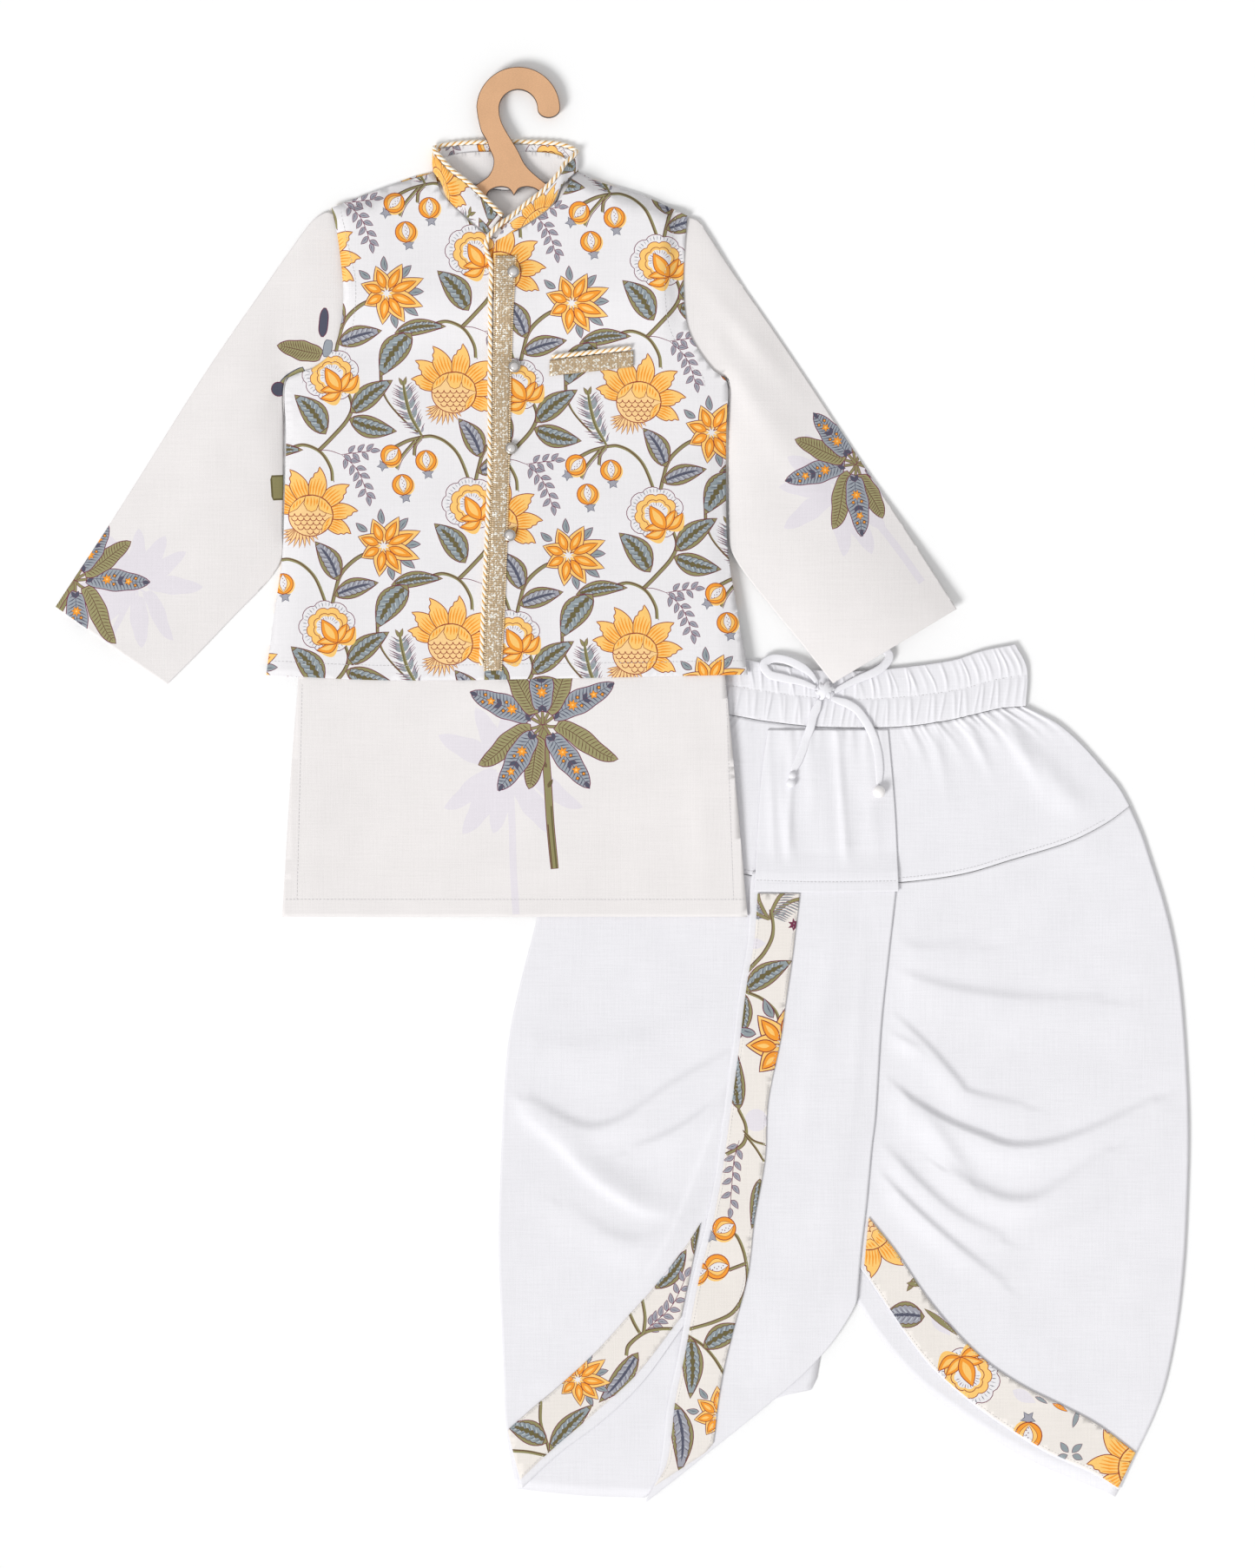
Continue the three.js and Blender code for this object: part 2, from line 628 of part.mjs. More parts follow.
// Hanger: outline of a hook, a neck and two arms, with a heart cut out
const hook = { x: -77.4, y: 505.7, outer: 31.2, inner: 14.3 };
const neckRight = [
  [-56, 449], [-61, 453], [-68, 459], [-73, 465], [-77, 473], [-81, 480], [-86, 488], [-89.6, 495],
  [-91.4, 501],
];
const neckLeft = [
  [-107.6, 499], [-105, 489], [-101, 482], [-99, 476], [-96, 469], [-96, 463], [-98, 458], [-101, 454],
  [-110, 448],
];
const armLeft = [
  [-125, 436], [-150, 427], [-172, 419], [-183, 412], [-186, 406], [-183, 401], [-174, 400], [-148, 403],
  [-118, 400],
];
const armRight = armLeft.map(([x, y]) => [2 * CENTRE_X - x, y]).reverse();
const arc = (radius, from, to, count) =>
  evenly(count).map((t) => {
    const angle = THREE.MathUtils.degToRad(mix(from, to, t));
    return [hook.x + radius * Math.cos(angle), hook.y + radius * Math.sin(angle)];
  });
const tipR = (hook.outer - hook.inner) / 2;
const tip = evenly(6)
  .slice(1, -1)
  .map((t) => [
    hook.x + hook.inner + tipR - tipR * Math.cos(Math.PI * t),
    hook.y - tipR * 0.8 * Math.sin(Math.PI * t),
  ]);
const outline = [
  ...neckRight,
  ...arc(hook.inner, 178, 0, 14),
  ...tip,
  ...arc(hook.outer, 0, 178, 22),
  ...neckLeft,
  ...armLeft,
  [CENTRE_X, 397],
  ...armRight,
];
const hangerShape = new THREE.Shape(outline.map(([x, y]) => new THREE.Vector2(x, y)));
const heart = { x: -80.6, cusp: 441, low: 418, lobe: 447.5, half: 20.3 };
const heartHole = new THREE.Path();
heartHole.moveTo(heart.x, heart.cusp);
for (const side of [-1, 1]) {
  const points = [
    [heart.x + side * heart.half * 0.2, heart.lobe, heart.x + side * heart.half * 0.55, heart.lobe],
    [heart.x + side * heart.half, heart.lobe, heart.x + side * heart.half, heart.lobe - 7],
    [heart.x + side * heart.half, heart.lobe - 16, heart.x, heart.low],
  ];
  const back = [
    [heart.x + side * heart.half, heart.lobe - 16, heart.x + side * heart.half, heart.lobe - 7],
    [heart.x + side * heart.half, heart.lobe, heart.x + side * heart.half * 0.55, heart.lobe],
    [heart.x + side * heart.half * 0.2, heart.lobe, heart.x, heart.cusp],
  ];
  (side < 0 ? points : back).forEach((row) => heartHole.quadraticCurveTo(...row));
}
hangerShape.holes.push(heartHole);
const hangerBody = new THREE.ExtrudeGeometry(hangerShape, {
  depth: HANGER_THICK,
  bevelEnabled: false,
  curveSegments: 5,
});
hangerBody.translate(0, 0, HANGER_Z);
addMesh("hanger", "hanger_board", hangerBody);

// Outlines of the dhoti, rows of [x, y]
const waistTop = [
  [35, 103], [55, 100], [84, 96], [107, 92], [142, 87], [177, 86], [212, 89], [247, 94], [269, 101],
  [294, 106],
];
const waistLow = [
  [31, 58.6], [55, 55.6], [84, 52.6], [107, 48.6], [142, 44.6], [177, 43.6], [212, 44.6], [247, 49.6],
  [281, 57.6], [302, 59.6],
];
const yokeTop = waistLow.map(([x, y]) => [x, y - 1]);
const yokeLow = [
  [-38, -15], [-21, -28], [6, -42], [49, -55], [87, -65], [132, -72], [170, -73], [209, -72], [254, -66],
  [292, -55], [334, -42], [362, -28], [380, -15],
];
const yokeLeft = [[-38, -15], [-32, -1], [-23, 12], [-9, 31], [6, 44], [20, 53], [31, 57.6]];
const yokeRight = [[380, -15], [372, -1], [361, 12], [344, 31], [327, 46], [313, 54], [302, 58.6]];
const legTop = yokeLow.map(([x, y]) => [x, y - 0.6]);
const CROTCH_X = 150;
const backTopLeft = [...legTop.filter(([x]) => x < CROTCH_X), [CROTCH_X - 0.3, -73.2]];
const backTopRight = [[CROTCH_X + 0.3, -73.2], ...legTop.filter(([x]) => x > CROTCH_X)];
// The fronts of the legs reach a little under the centre panel.
const underPanelLeft = [
  [60, -387], [65, -359], [72, -331], [79, -296], [84, -261], [89, -224], [93, -193], [98, -151],
  [104, -116],
  [107.5, -68.9],
];
const underPanelRight = [
  [167.5, -352], [173, -313], [177, -270], [180, -244], [184, -179], [189, -131], [195, -88], [195.4, -73],
];
const legTopLeft = [...legTop.filter(([x]) => x < 107), [107.5, -68.9]];
const legTopRight = [[195.4, -73], ...legTop.filter(([x]) => x > 196)];
const legSideLeft = [
  [-86, -482], [-88, -443], [-90, -400], [-92, -348], [-91, -296], [-88, -228], [-84, -186], [-75, -144],
  [-64, -101], [-57, -62], [-49, -36], [-38, -15.6],
];
const legSideRight = [
  [385, -499], [396, -476], [406, -449], [414, -411], [419, -373], [422, -331], [424, -257], [421, -188],
  [417, -144], [412, -113], [405, -85], [396, -57], [389, -36], [380, -15.6],
];
const hemLeft = [[-75, -526], [-47, -500], [-14, -475], [16, -446], [45, -406], [60, -387]];
const hemRight = [
  [167.5, -352], [179, -362], [191, -379], [216, -416], [237, -441], [264, -464], [291, -483], [319, -500],
  [350, -514], [372, -527],
];
const backHemRight = [
  [150.3, -362], [176, -387], [191, -411], [218, -444], [246, -467], [273, -486], [300, -502], [328, -515],
  [356, -526], [369, -532],
];

// Cowl folds of the legs: height and the points that each runs through
const folds = [
  { rise: 3.2, through: [[200, -135], [246, -145], [304, -151], [366, -145]] },
  { rise: 4.2, through: [[198, -161], [227, -190], [260, -224], [293, -228]] },
  { rise: 4.6, through: [[193, -211], [231, -240], [287, -259], [345, -240], [397, -219]] },
  { rise: 4.0, through: [[190, -246], [227, -261], [252, -290], [304, -302], [335, -285]] },
  { rise: 3.4, through: [[187, -273], [227, -311], [270, -344], [308, -369]] },
  { rise: 3.6, through: [[83, -192], [44, -215], [15, -231], [-18, -240], [-46, -234]] },
  { rise: 3.4, through: [[77, -219], [52, -242], [31, -259], [-5, -282]] },
  { rise: 4.4, through: [[-64, -244], [-33, -278], [-2, -298], [40, -308]] },
];
function foldHeight(x, y) {
  let high = 0;
  for (const { rise, through } of folds) {
    for (let i = 0; i + 1 < through.length; i += 1) {
      const [[ax, ay], [bx, by]] = [through[i], through[i + 1]];
      const reach = (x - ax) * (bx - ax) + (y - ay) * (by - ay);
      const share = clamp(reach / ((bx - ax) ** 2 + (by - ay) ** 2));
      const away = Math.hypot(x - mix(ax, bx, share), y - mix(ay, by, share));
      high = Math.max(high, rise * Math.exp(-((away / FOLD_SPREAD) ** 2)));
    }
  }
  return high;
}
// Folds die out at the edges u = 0 and 1, where the centre panel or the side seam lies, and at the bands
const fromBand = (v) => ramp(v, 0.16, 0.24);
const leftFolds = (x, y, u, v) => foldHeight(x, y) * ramp(u, 0, 0.12) * ramp(u, 0.93, 0.8) * fromBand(v);
const rightFolds = (x, y, u, v) => foldHeight(x, y) * ramp(u, 1, 0.9) * ramp(u, 0.074, 0.2) * fromBand(v);

addSheet("dhoti_back_left", "dhoti_cloth", {
  at: patch({
    left: [[-79, -526], [-84, -498], ...legSideLeft],
    right: [[17, -533], [60, -500], [110, -458], [149.7, -420], [149.7, -73.2]],
    bottom: [[-79, -526], [-32, -531], [17, -533]],
    top: backTopLeft,
  }),
  us: sharesOf(backTopLeft, "x", 0.3),
  vs: evenly(12),
  under: level(0),
  over: level(CLOTH),
});
addSheet("dhoti_back_right", "dhoti_cloth", {
  at: patch({
    left: [[150.3, -362], [150.3, -73.2]],
    right: [[369, -532], ...legSideRight],
    bottom: backHemRight,
    top: backTopRight,
  }),
  us: sharesOf(backTopRight, "x", 0.3),
  vs: evenly(12),
  under: level(0),
  over: level(CLOTH),
});
const legs = [
  {
    name: "dhoti_front_left",
    edges: { left: [[-75, -526], ...legSideLeft], right: underPanelLeft, bottom: hemLeft, top: legTopLeft },
    rise: leftFolds,
  },
  {
    name: "dhoti_front_right",
    edges: {
      left: underPanelRight,
      right: [[372, -527], ...legSideRight],
      bottom: hemRight,
      top: legTopRight,
    },
    rise: rightFolds,
  },
];
const legRows = [0, 0.08, 0.16, 0.2, ...evenly(20).map((t) => mix(0.24, 1, t))];
for (const { name, edges, rise } of legs) {
  addSheet(name, "dhoti_cloth", {
    at: patch(edges),
    us: sharesOf(edges.top, "x", 0.12),
    vs: legRows,
    under: (x, y, u, v) => FRONT_Z + rise(x, y, u, v),
    over: (x, y, u, v) => FRONT_Z + CLOTH + rise(x, y, u, v),
  });
}

const yokeAt = patch({ left: yokeLeft, right: yokeRight, bottom: yokeLow, top: yokeTop });
for (const [name, z] of [["dhoti_yoke_back", 0], ["dhoti_yoke_front", FRONT_Z]]) {
  addSheet(name, "dhoti_cloth", {
    at: yokeAt,
    us: sharesOf(yokeLow, "x", 0.2),
    vs: evenly(3),
    under: level(z),
    over: level(z + CLOTH),
  });
}
addSheet("dhoti_yoke_flap", "dhoti_cloth", {
  at: patch({
    left: [[99, -79], [104, 3], [109, 42]],
    right: [[207, -79], [204, -16], [199, 42]],
    bottom: [[99, -79], [152, -80], [207, -79]],
    top: [[109, 42], [199, 42]],
  }),
  us: evenly(4),
  vs: [0, 0.12, 0.24, 0.5, 0.75, 1],
  under: (x, y, u, v) => PANEL_Z + STEP * ramp(v, 0.24, 0.12),
  over: (x, y, u, v) => PANEL_Z + STEP * ramp(v, 0.24, 0.12) + CLOTH,
});

const waistSides = { left: [[31, 58.6], [35, 103]], right: [[302, 59.6], [303, 87], [294, 106]] };
const waistAt = patch({ ...waistSides, bottom: waistLow, top: waistTop });
addSheet("dhoti_waistband_back", "dhoti_cloth", {
  at: waistAt,
  us: evenly(14),
  vs: [0, 1],
  under: level(0),
  over: level(BAND_CLOTH),
});
addSheet("dhoti_waistband_front", "dhoti_cloth", {
  at: waistAt,
  us: evenly(2 * GATHERS),
  vs: [0, 0.25, 0.5, 0.75, 1],
  under: level(WAIST_FRONT_Z),
  over: (x, y, u, v) => {
    const crest = Math.round(u * 2 * GATHERS) % 2;
    const casing = Math.abs(Math.sin(2 * Math.PI * v));
    const above = BAND_CLOTH * 0.3 + GATHER_RISE * crest;
    return WAIST_FRONT_Z + BAND_CLOTH * 0.7 + above * mix(0.35, 1, casing);
  },
});

const panelLeft = [
  [17, -536.9], [27, -515], [31, -489], [34, -463], [42, -426], [49, -387], [55, -359], [62, -331],
  [69, -296],
  [74, -261], [79, -224], [83, -193], [88, -151], [94, -116], [96, -75], [98, -64],
];
const panelRight = [
  [176, -385], [179, -348], [183, -313], [187, -270], [190, -244], [194, -179], [199, -131], [205, -78],
  [206, -64],
];
const panelLow = [
  [17, -536.9], [45, -515], [66, -498], [86, -482], [107, -465], [135, -441], [156, -418], [170, -397],
  [176, -385],
];
const panelRows = evenly(14);
const panelZ = (x, y) => FRONT_Z + STEP * ramp(y, -450, -412);
addSheet("dhoti_centre_panel", "dhoti_cloth", {
  at: patch({ left: panelLeft, right: panelRight, bottom: panelLow, top: [[98, -64], [206, -64]] }),
  us: evenly(6),
  vs: panelRows,
  under: panelZ,
  over: raised(panelZ, CLOTH),
});

// Printed bands: along the centre panel's left edge and along the hem of each leg
const centreBand = {
  left: [
    [24, -524], [33, -509], [37, -487], [40, -460], [47, -426], [54, -387], [60, -359], [67, -331],
    [74, -296],
    [79, -261], [84, -224], [88, -193], [93, -151], [99, -116], [101.5, -80.6],
  ],
  right: [
    [62, -499], [68, -493], [72, -460], [76, -436], [83, -408], [94, -366], [99, -324], [107, -279],
    [109, -237],
    [118, -193], [122, -165], [127, -131], [130, -106], [133, -80.6],
  ],
};
const centreBandZ = (x, y) => panelZ(x, y) + STEP;
addSheet("dhoti_border_centre", "border_print", {
  at: patch({ ...centreBand, bottom: [[24, -524], [62, -499]], top: [[101.5, -80.6], [133, -80.6]] }),
  us: evenly(3),
  vs: evenly(16),
  under: (x, y) => centreBandZ(x, y + 14),
  over: (x, y) => centreBandZ(x, y + 14) + CLOTH,
});
const hemBands = [
  {
    name: "dhoti_border_left",
    left: [[-76, -519], [-85.4, -482]],
    right: [[44, -398], [59, -327]],
    bottom: [[-76, -519], [-54, -498], [-18, -467], [12, -439], [39, -404], [44, -398]],
    top: [
      [-85.4, -482], [-65, -464], [-47, -449], [-20, -424], [8, -393], [25, -374], [48, -344],
      [59, -327],
    ],
  },
  {
    name: "dhoti_border_right",
    left: [[181, -361.6], [184.6, -323]],
    right: [[371, -525], [384, -499]],
    bottom: [
      [181, -361.6], [191, -377], [216, -414], [237, -439], [264, -462], [291, -481], [319, -498],
      [350, -512],
      [371, -525],
    ],
    top: [
      [184.6, -323], [206, -350], [226, -380], [248, -407], [273, -431], [300, -449], [328, -463],
      [356, -478],
      [384, -499],
    ],
  },
];
for (const { name, left, right, bottom, top } of hemBands) {
  addSheet(name, "border_print", {
    at: patch({ left, right, bottom, top }),
    us: evenly(14),
    vs: evenly(3),
    under: level(PANEL_Z),
    over: level(PANEL_Z + CLOTH),
  });
}

// Drawstring: knot, two loops and two tails of flat tie, rows of [x, y, z of the underside, width]
const knot = { x: 151.5, y: 71, r: 5.5, rise: 6 };
const ties = {
  drawstring_loop_left: [
    [145.6, 77.4, BOW_Z, TIE_NARROW], [141, 83.6, BOW_Z, 4.6], [134, 89, BOW_Z, TIE_WIDE],
    [123, 94, 3.9, TIE_WIDE], [112.5, 95, 3.4, TIE_WIDE], [106, 90.6, 4.2, TIE_WIDE],
    [110, 83.5, BOW_Z, TIE_WIDE], [120, 80.6, BOW_Z, TIE_WIDE], [132, 78, BOW_Z, 5.2],
    [139, 75.6, BOW_Z, 4.4], [145, 73, BOW_Z, TIE_NARROW],
  ],
  drawstring_loop_right: [
    [157, 76.4, BOW_Z, TIE_NARROW], [162, 83.5, BOW_Z, 4.6], [168, 89.5, BOW_Z, TIE_WIDE],
    [177, 96, 4.2, TIE_WIDE], [188, 101.5, 3.6, TIE_WIDE], [196.5, 101.5, 3.2, TIE_WIDE],
    [200, 96.5, 3.6, TIE_WIDE], [196, 90, 4.2, TIE_WIDE], [189, 85, BOW_Z, TIE_WIDE],
    [176, 79.5, BOW_Z, 5.6], [166, 74.5, BOW_Z, 4.4], [158.5, 70.4, BOW_Z, TIE_NARROW],
  ],
  drawstring_tail_left: [
    [148, 64.6, BOW_Z, TIE_NARROW], [145.5, 58, BOW_Z, TIE_WIDE], [143, 52, BOW_Z, TIE_WIDE],
    [141, 44, BOW_Z, TIE_WIDE], [138, 36, TRIM_Z, TIE_WIDE], [136, 29, TRIM_Z, TIE_WIDE],
    [132, 19, TRIM_Z, TIE_WIDE], [129, 13, TRIM_Z, 5], [128, 9.6, TRIM_Z, TIE_NARROW],
  ],
  drawstring_tail_right: [
    [156.6, 65.4, BOW_Z, TIE_NARROW], [162, 63.6, BOW_Z, 5.2], [168, 61.6, BOW_Z, TIE_WIDE],
    [175, 57.4, BOW_Z, TIE_WIDE], [181, 50, BOW_Z, TIE_WIDE], [185.6, 42, BOW_Z, TIE_WIDE],
    [189, 34, TRIM_Z, TIE_WIDE], [191.4, 24, TRIM_Z, TIE_WIDE], [192.4, 13, TRIM_Z, TIE_WIDE],
    [192.4, 5, TRIM_Z, 5], [192.2, 0.8, TRIM_Z, TIE_NARROW],
  ],
};
for (const [name, rows] of Object.entries(ties)) {
  const rings = rows.map(([x, y, z, wide], i) => {
    const [before, after] = [rows[Math.max(0, i - 1)], rows[Math.min(rows.length - 1, i + 1)]];
    const length = Math.hypot(after[0] - before[0], after[1] - before[1]);
    const reach = (0.5 * wide) / length;
    const side = [(before[1] - after[1]) * reach, (after[0] - before[0]) * reach];
    return [
      [x - side[0], y - side[1], z],
      [x + side[0], y + side[1], z],
      [x + side[0], y + side[1], z + TIE_THICK],
      [x - side[0], y - side[1], z + TIE_THICK],
    ];
  });
  addRings(name, "tie_cloth", rings);
}
const round = [[0.35, 0], [0.8, 0.12], [1, 0.42], [0.92, 0.66], [0.62, 0.9], [0.25, 1]];
const rounded = (radius, rise) => round.map(([share, height]) => [share * radius, height * rise]);
addTurned("drawstring_knot", "tie_cloth", [knot.x, knot.y, BOW_Z], rounded(knot.r, knot.rise), 12);
addTurned("drawstring_bead_left", "tie_cloth", [126.8, 4.4, TRIM_Z], rounded(4.2, 6), 12);
addTurned("drawstring_bead_right", "bead_wood", [192, -4.6, TRIM_Z], rounded(4.6, 8.6), 12);

export default root;
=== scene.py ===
import json
import math

import bpy
import numpy as np
from mathutils import Vector
from mathutils.geometry import delaunay_2d_cdt
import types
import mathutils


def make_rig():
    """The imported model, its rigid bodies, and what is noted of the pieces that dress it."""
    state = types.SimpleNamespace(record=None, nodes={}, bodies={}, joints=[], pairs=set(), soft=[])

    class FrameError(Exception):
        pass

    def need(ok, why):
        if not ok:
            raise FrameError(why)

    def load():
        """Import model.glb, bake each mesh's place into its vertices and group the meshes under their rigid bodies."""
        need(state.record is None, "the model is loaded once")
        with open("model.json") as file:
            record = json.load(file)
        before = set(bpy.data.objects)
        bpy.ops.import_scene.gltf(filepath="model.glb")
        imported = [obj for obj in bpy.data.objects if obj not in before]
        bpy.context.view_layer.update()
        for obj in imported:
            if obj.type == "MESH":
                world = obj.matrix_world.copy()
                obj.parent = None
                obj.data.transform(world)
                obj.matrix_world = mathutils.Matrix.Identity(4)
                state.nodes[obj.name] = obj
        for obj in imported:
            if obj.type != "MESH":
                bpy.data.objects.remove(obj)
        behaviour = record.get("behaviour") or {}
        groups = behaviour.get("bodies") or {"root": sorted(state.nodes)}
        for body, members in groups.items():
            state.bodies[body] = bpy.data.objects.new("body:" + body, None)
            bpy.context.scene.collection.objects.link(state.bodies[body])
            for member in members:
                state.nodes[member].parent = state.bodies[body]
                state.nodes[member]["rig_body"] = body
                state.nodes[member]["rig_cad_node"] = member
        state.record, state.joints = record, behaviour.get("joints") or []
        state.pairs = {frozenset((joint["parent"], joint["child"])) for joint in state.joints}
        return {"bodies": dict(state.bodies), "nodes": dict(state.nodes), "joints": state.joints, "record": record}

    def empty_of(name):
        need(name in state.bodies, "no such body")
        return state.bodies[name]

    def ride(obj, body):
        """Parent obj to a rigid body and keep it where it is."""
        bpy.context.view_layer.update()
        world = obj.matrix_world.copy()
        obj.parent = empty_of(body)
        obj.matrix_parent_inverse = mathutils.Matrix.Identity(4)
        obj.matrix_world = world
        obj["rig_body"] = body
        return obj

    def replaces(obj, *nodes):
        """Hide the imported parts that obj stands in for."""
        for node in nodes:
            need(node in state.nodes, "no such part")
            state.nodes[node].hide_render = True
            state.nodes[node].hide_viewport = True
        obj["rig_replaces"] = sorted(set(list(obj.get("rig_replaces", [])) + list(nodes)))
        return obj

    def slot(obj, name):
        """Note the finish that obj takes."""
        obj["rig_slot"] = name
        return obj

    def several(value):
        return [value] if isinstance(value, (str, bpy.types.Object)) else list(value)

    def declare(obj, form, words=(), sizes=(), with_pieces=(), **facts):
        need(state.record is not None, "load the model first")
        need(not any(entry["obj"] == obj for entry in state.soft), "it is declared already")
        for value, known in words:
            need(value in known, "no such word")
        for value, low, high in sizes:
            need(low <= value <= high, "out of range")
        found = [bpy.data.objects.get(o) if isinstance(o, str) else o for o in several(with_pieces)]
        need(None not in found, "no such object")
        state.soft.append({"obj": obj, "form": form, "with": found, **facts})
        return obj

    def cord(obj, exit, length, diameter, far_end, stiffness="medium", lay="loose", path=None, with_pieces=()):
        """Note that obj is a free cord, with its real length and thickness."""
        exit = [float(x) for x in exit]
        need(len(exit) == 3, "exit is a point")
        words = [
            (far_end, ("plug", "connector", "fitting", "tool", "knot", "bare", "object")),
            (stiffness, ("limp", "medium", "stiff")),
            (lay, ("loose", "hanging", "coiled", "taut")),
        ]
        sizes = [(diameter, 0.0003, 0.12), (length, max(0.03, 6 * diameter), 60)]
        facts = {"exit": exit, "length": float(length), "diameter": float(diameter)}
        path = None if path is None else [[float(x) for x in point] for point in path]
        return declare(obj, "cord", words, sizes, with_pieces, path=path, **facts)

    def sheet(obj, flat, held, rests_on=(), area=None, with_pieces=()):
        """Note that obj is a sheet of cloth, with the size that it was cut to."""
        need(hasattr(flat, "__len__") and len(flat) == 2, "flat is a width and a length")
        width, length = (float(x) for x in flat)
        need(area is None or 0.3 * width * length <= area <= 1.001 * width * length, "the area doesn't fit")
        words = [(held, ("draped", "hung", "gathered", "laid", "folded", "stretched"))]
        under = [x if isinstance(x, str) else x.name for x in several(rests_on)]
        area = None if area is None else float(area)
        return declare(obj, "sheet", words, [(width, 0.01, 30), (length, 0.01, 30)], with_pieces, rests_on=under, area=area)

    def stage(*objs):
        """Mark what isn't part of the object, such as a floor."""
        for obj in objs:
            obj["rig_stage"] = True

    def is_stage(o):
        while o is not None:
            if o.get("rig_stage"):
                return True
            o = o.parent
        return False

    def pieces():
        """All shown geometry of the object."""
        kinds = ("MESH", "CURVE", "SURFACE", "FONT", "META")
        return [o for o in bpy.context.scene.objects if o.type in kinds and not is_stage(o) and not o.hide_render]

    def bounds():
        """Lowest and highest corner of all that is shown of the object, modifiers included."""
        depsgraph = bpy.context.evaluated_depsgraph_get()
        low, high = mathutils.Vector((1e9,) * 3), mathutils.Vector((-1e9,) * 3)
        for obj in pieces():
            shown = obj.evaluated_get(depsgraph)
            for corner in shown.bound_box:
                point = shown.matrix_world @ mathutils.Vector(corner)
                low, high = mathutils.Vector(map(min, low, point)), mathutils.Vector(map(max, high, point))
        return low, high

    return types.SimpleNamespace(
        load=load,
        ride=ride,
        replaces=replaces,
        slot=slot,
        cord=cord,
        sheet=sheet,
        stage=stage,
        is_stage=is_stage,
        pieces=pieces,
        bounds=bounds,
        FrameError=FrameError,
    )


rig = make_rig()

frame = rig.load()
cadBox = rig.bounds()
mm = 0.001

# Camera straight above, light from the lower left, and a pale floor
view = {"pixel": 0.65 * mm, "high": 1806, "centre": (4.2 * mm, 1.3 * mm), "above": 3.2, "sensor": 36}
light = {"from": (-1.0, -1.05, 1.15), "strength": 2.3, "angle": 22, "sky": 0.62}

cameraData = bpy.data.cameras.new("camera")
cameraData.sensor_fit = "VERTICAL"
cameraData.sensor_height = view["sensor"]
cameraData.lens = view["sensor"] * view["above"] / (view["high"] * view["pixel"])
camera = bpy.data.objects.new("camera", cameraData)
camera.location = (*view["centre"], view["above"])
bpy.context.scene.collection.objects.link(camera)
bpy.context.scene.camera = camera
bpy.context.scene.view_settings.view_transform = "Standard"

sunData = bpy.data.lights.new("keyLight", "SUN")
sunData.energy = light["strength"]
sunData.angle = math.radians(light["angle"])
sun = bpy.data.objects.new("keyLight", sunData)
sun.rotation_euler = (-Vector(light["from"])).to_track_quat("-Z", "Y").to_euler()
bpy.context.scene.collection.objects.link(sun)
world = bpy.data.worlds.new("sky")
world.use_nodes = True
world.node_tree.nodes["Background"].inputs["Color"].default_value = (1, 1, 1, 1)
world.node_tree.nodes["Background"].inputs["Strength"].default_value = light["sky"]
bpy.context.scene.world = world


class Term:
    # A shader socket: its operators add Math nodes.
    def __init__(self, finish, socket):
        self.finish = finish
        self.socket = socket

    def work(self, kind, *values):
        return self.finish.node("ShaderNodeMath", {"operation": kind}, dict(enumerate(values)))

    def __add__(self, other):
        return self.work("ADD", self, other)

    def __sub__(self, other):
        return self.work("SUBTRACT", self, other)

    def __rsub__(self, other):
        return self.work("SUBTRACT", other, self)

    def __mul__(self, other):
        return self.work("MULTIPLY", self, other)

    def __truediv__(self, other):
        return self.work("DIVIDE", self, other)

    def __pow__(self, other):
        return self.work("POWER", self, other)

    __radd__ = __add__
    __rmul__ = __mul__

    def sine(self):
        return self.work("SINE", self)

    def between(self, low, high):
        # 0 below low, 1 above high, softly
        return self.finish.node(
            "ShaderNodeMapRange", {"interpolation_type": "SMOOTHSTEP"},
            {"Value": self, "From Min": low, "From Max": high},
        )


class Finish:
    # One material: a Principled shader and the nodes that feed it.
    def __init__(self, name, sockets):
        self.material = bpy.data.materials.new(name)
        self.material.use_nodes = True
        self.tree = self.material.node_tree
        self.shader = self.tree.nodes["Principled BSDF"]
        self.feed(self.shader, sockets)

    def feed(self, target, sockets):
        for key, value in sockets.items():
            if isinstance(value, Term):
                self.tree.links.new(value.socket, target.inputs[key])
            else:
                target.inputs[key].default_value = value

    def node(self, kind, settings, sockets, output=0):
        made = self.tree.nodes.new(kind)
        for key, value in settings.items():
            setattr(made, key, value)
        self.feed(made, sockets)
        return Term(self, made.outputs[output])

    def place(self):
        return self.node("ShaderNodeTexCoord", {}, {}, "Object")

    def stretched(self, scale, turn=0):
        turned = {"Rotation": (0, 0, math.radians(turn)), "Scale": scale}
        return self.node("ShaderNodeMapping", {}, {"Vector": self.place(), **turned})

    def noise(self, scale, turn=0, detail=2):
        sockets = {"Vector": self.stretched(scale, turn), "Scale": 1, "Detail": detail}
        return self.node("ShaderNodeTexNoise", {}, sockets)

    def blend(self, factor, first, second, kind="MIX"):
        settings = {"data_type": "RGBA", "blend_type": kind}
        return self.node("ShaderNodeMix", settings, {0: factor, 6: first, 7: second}, 2)

    def bump(self, height, distance, strength=1):
        sockets = {"Height": height, "Distance": distance, "Strength": strength}
        self.feed(self.shader, {"Normal": self.node("ShaderNodeBump", {}, sockets)})


def linear(red, green, blue):
    # A display colour from 0 to 255, as the light that it stands for
    share = np.array([red, green, blue]) / 255
    return (*np.where(share <= 0.04045, share / 12.92, ((share + 0.055) / 1.055) ** 2.4), 1.0)


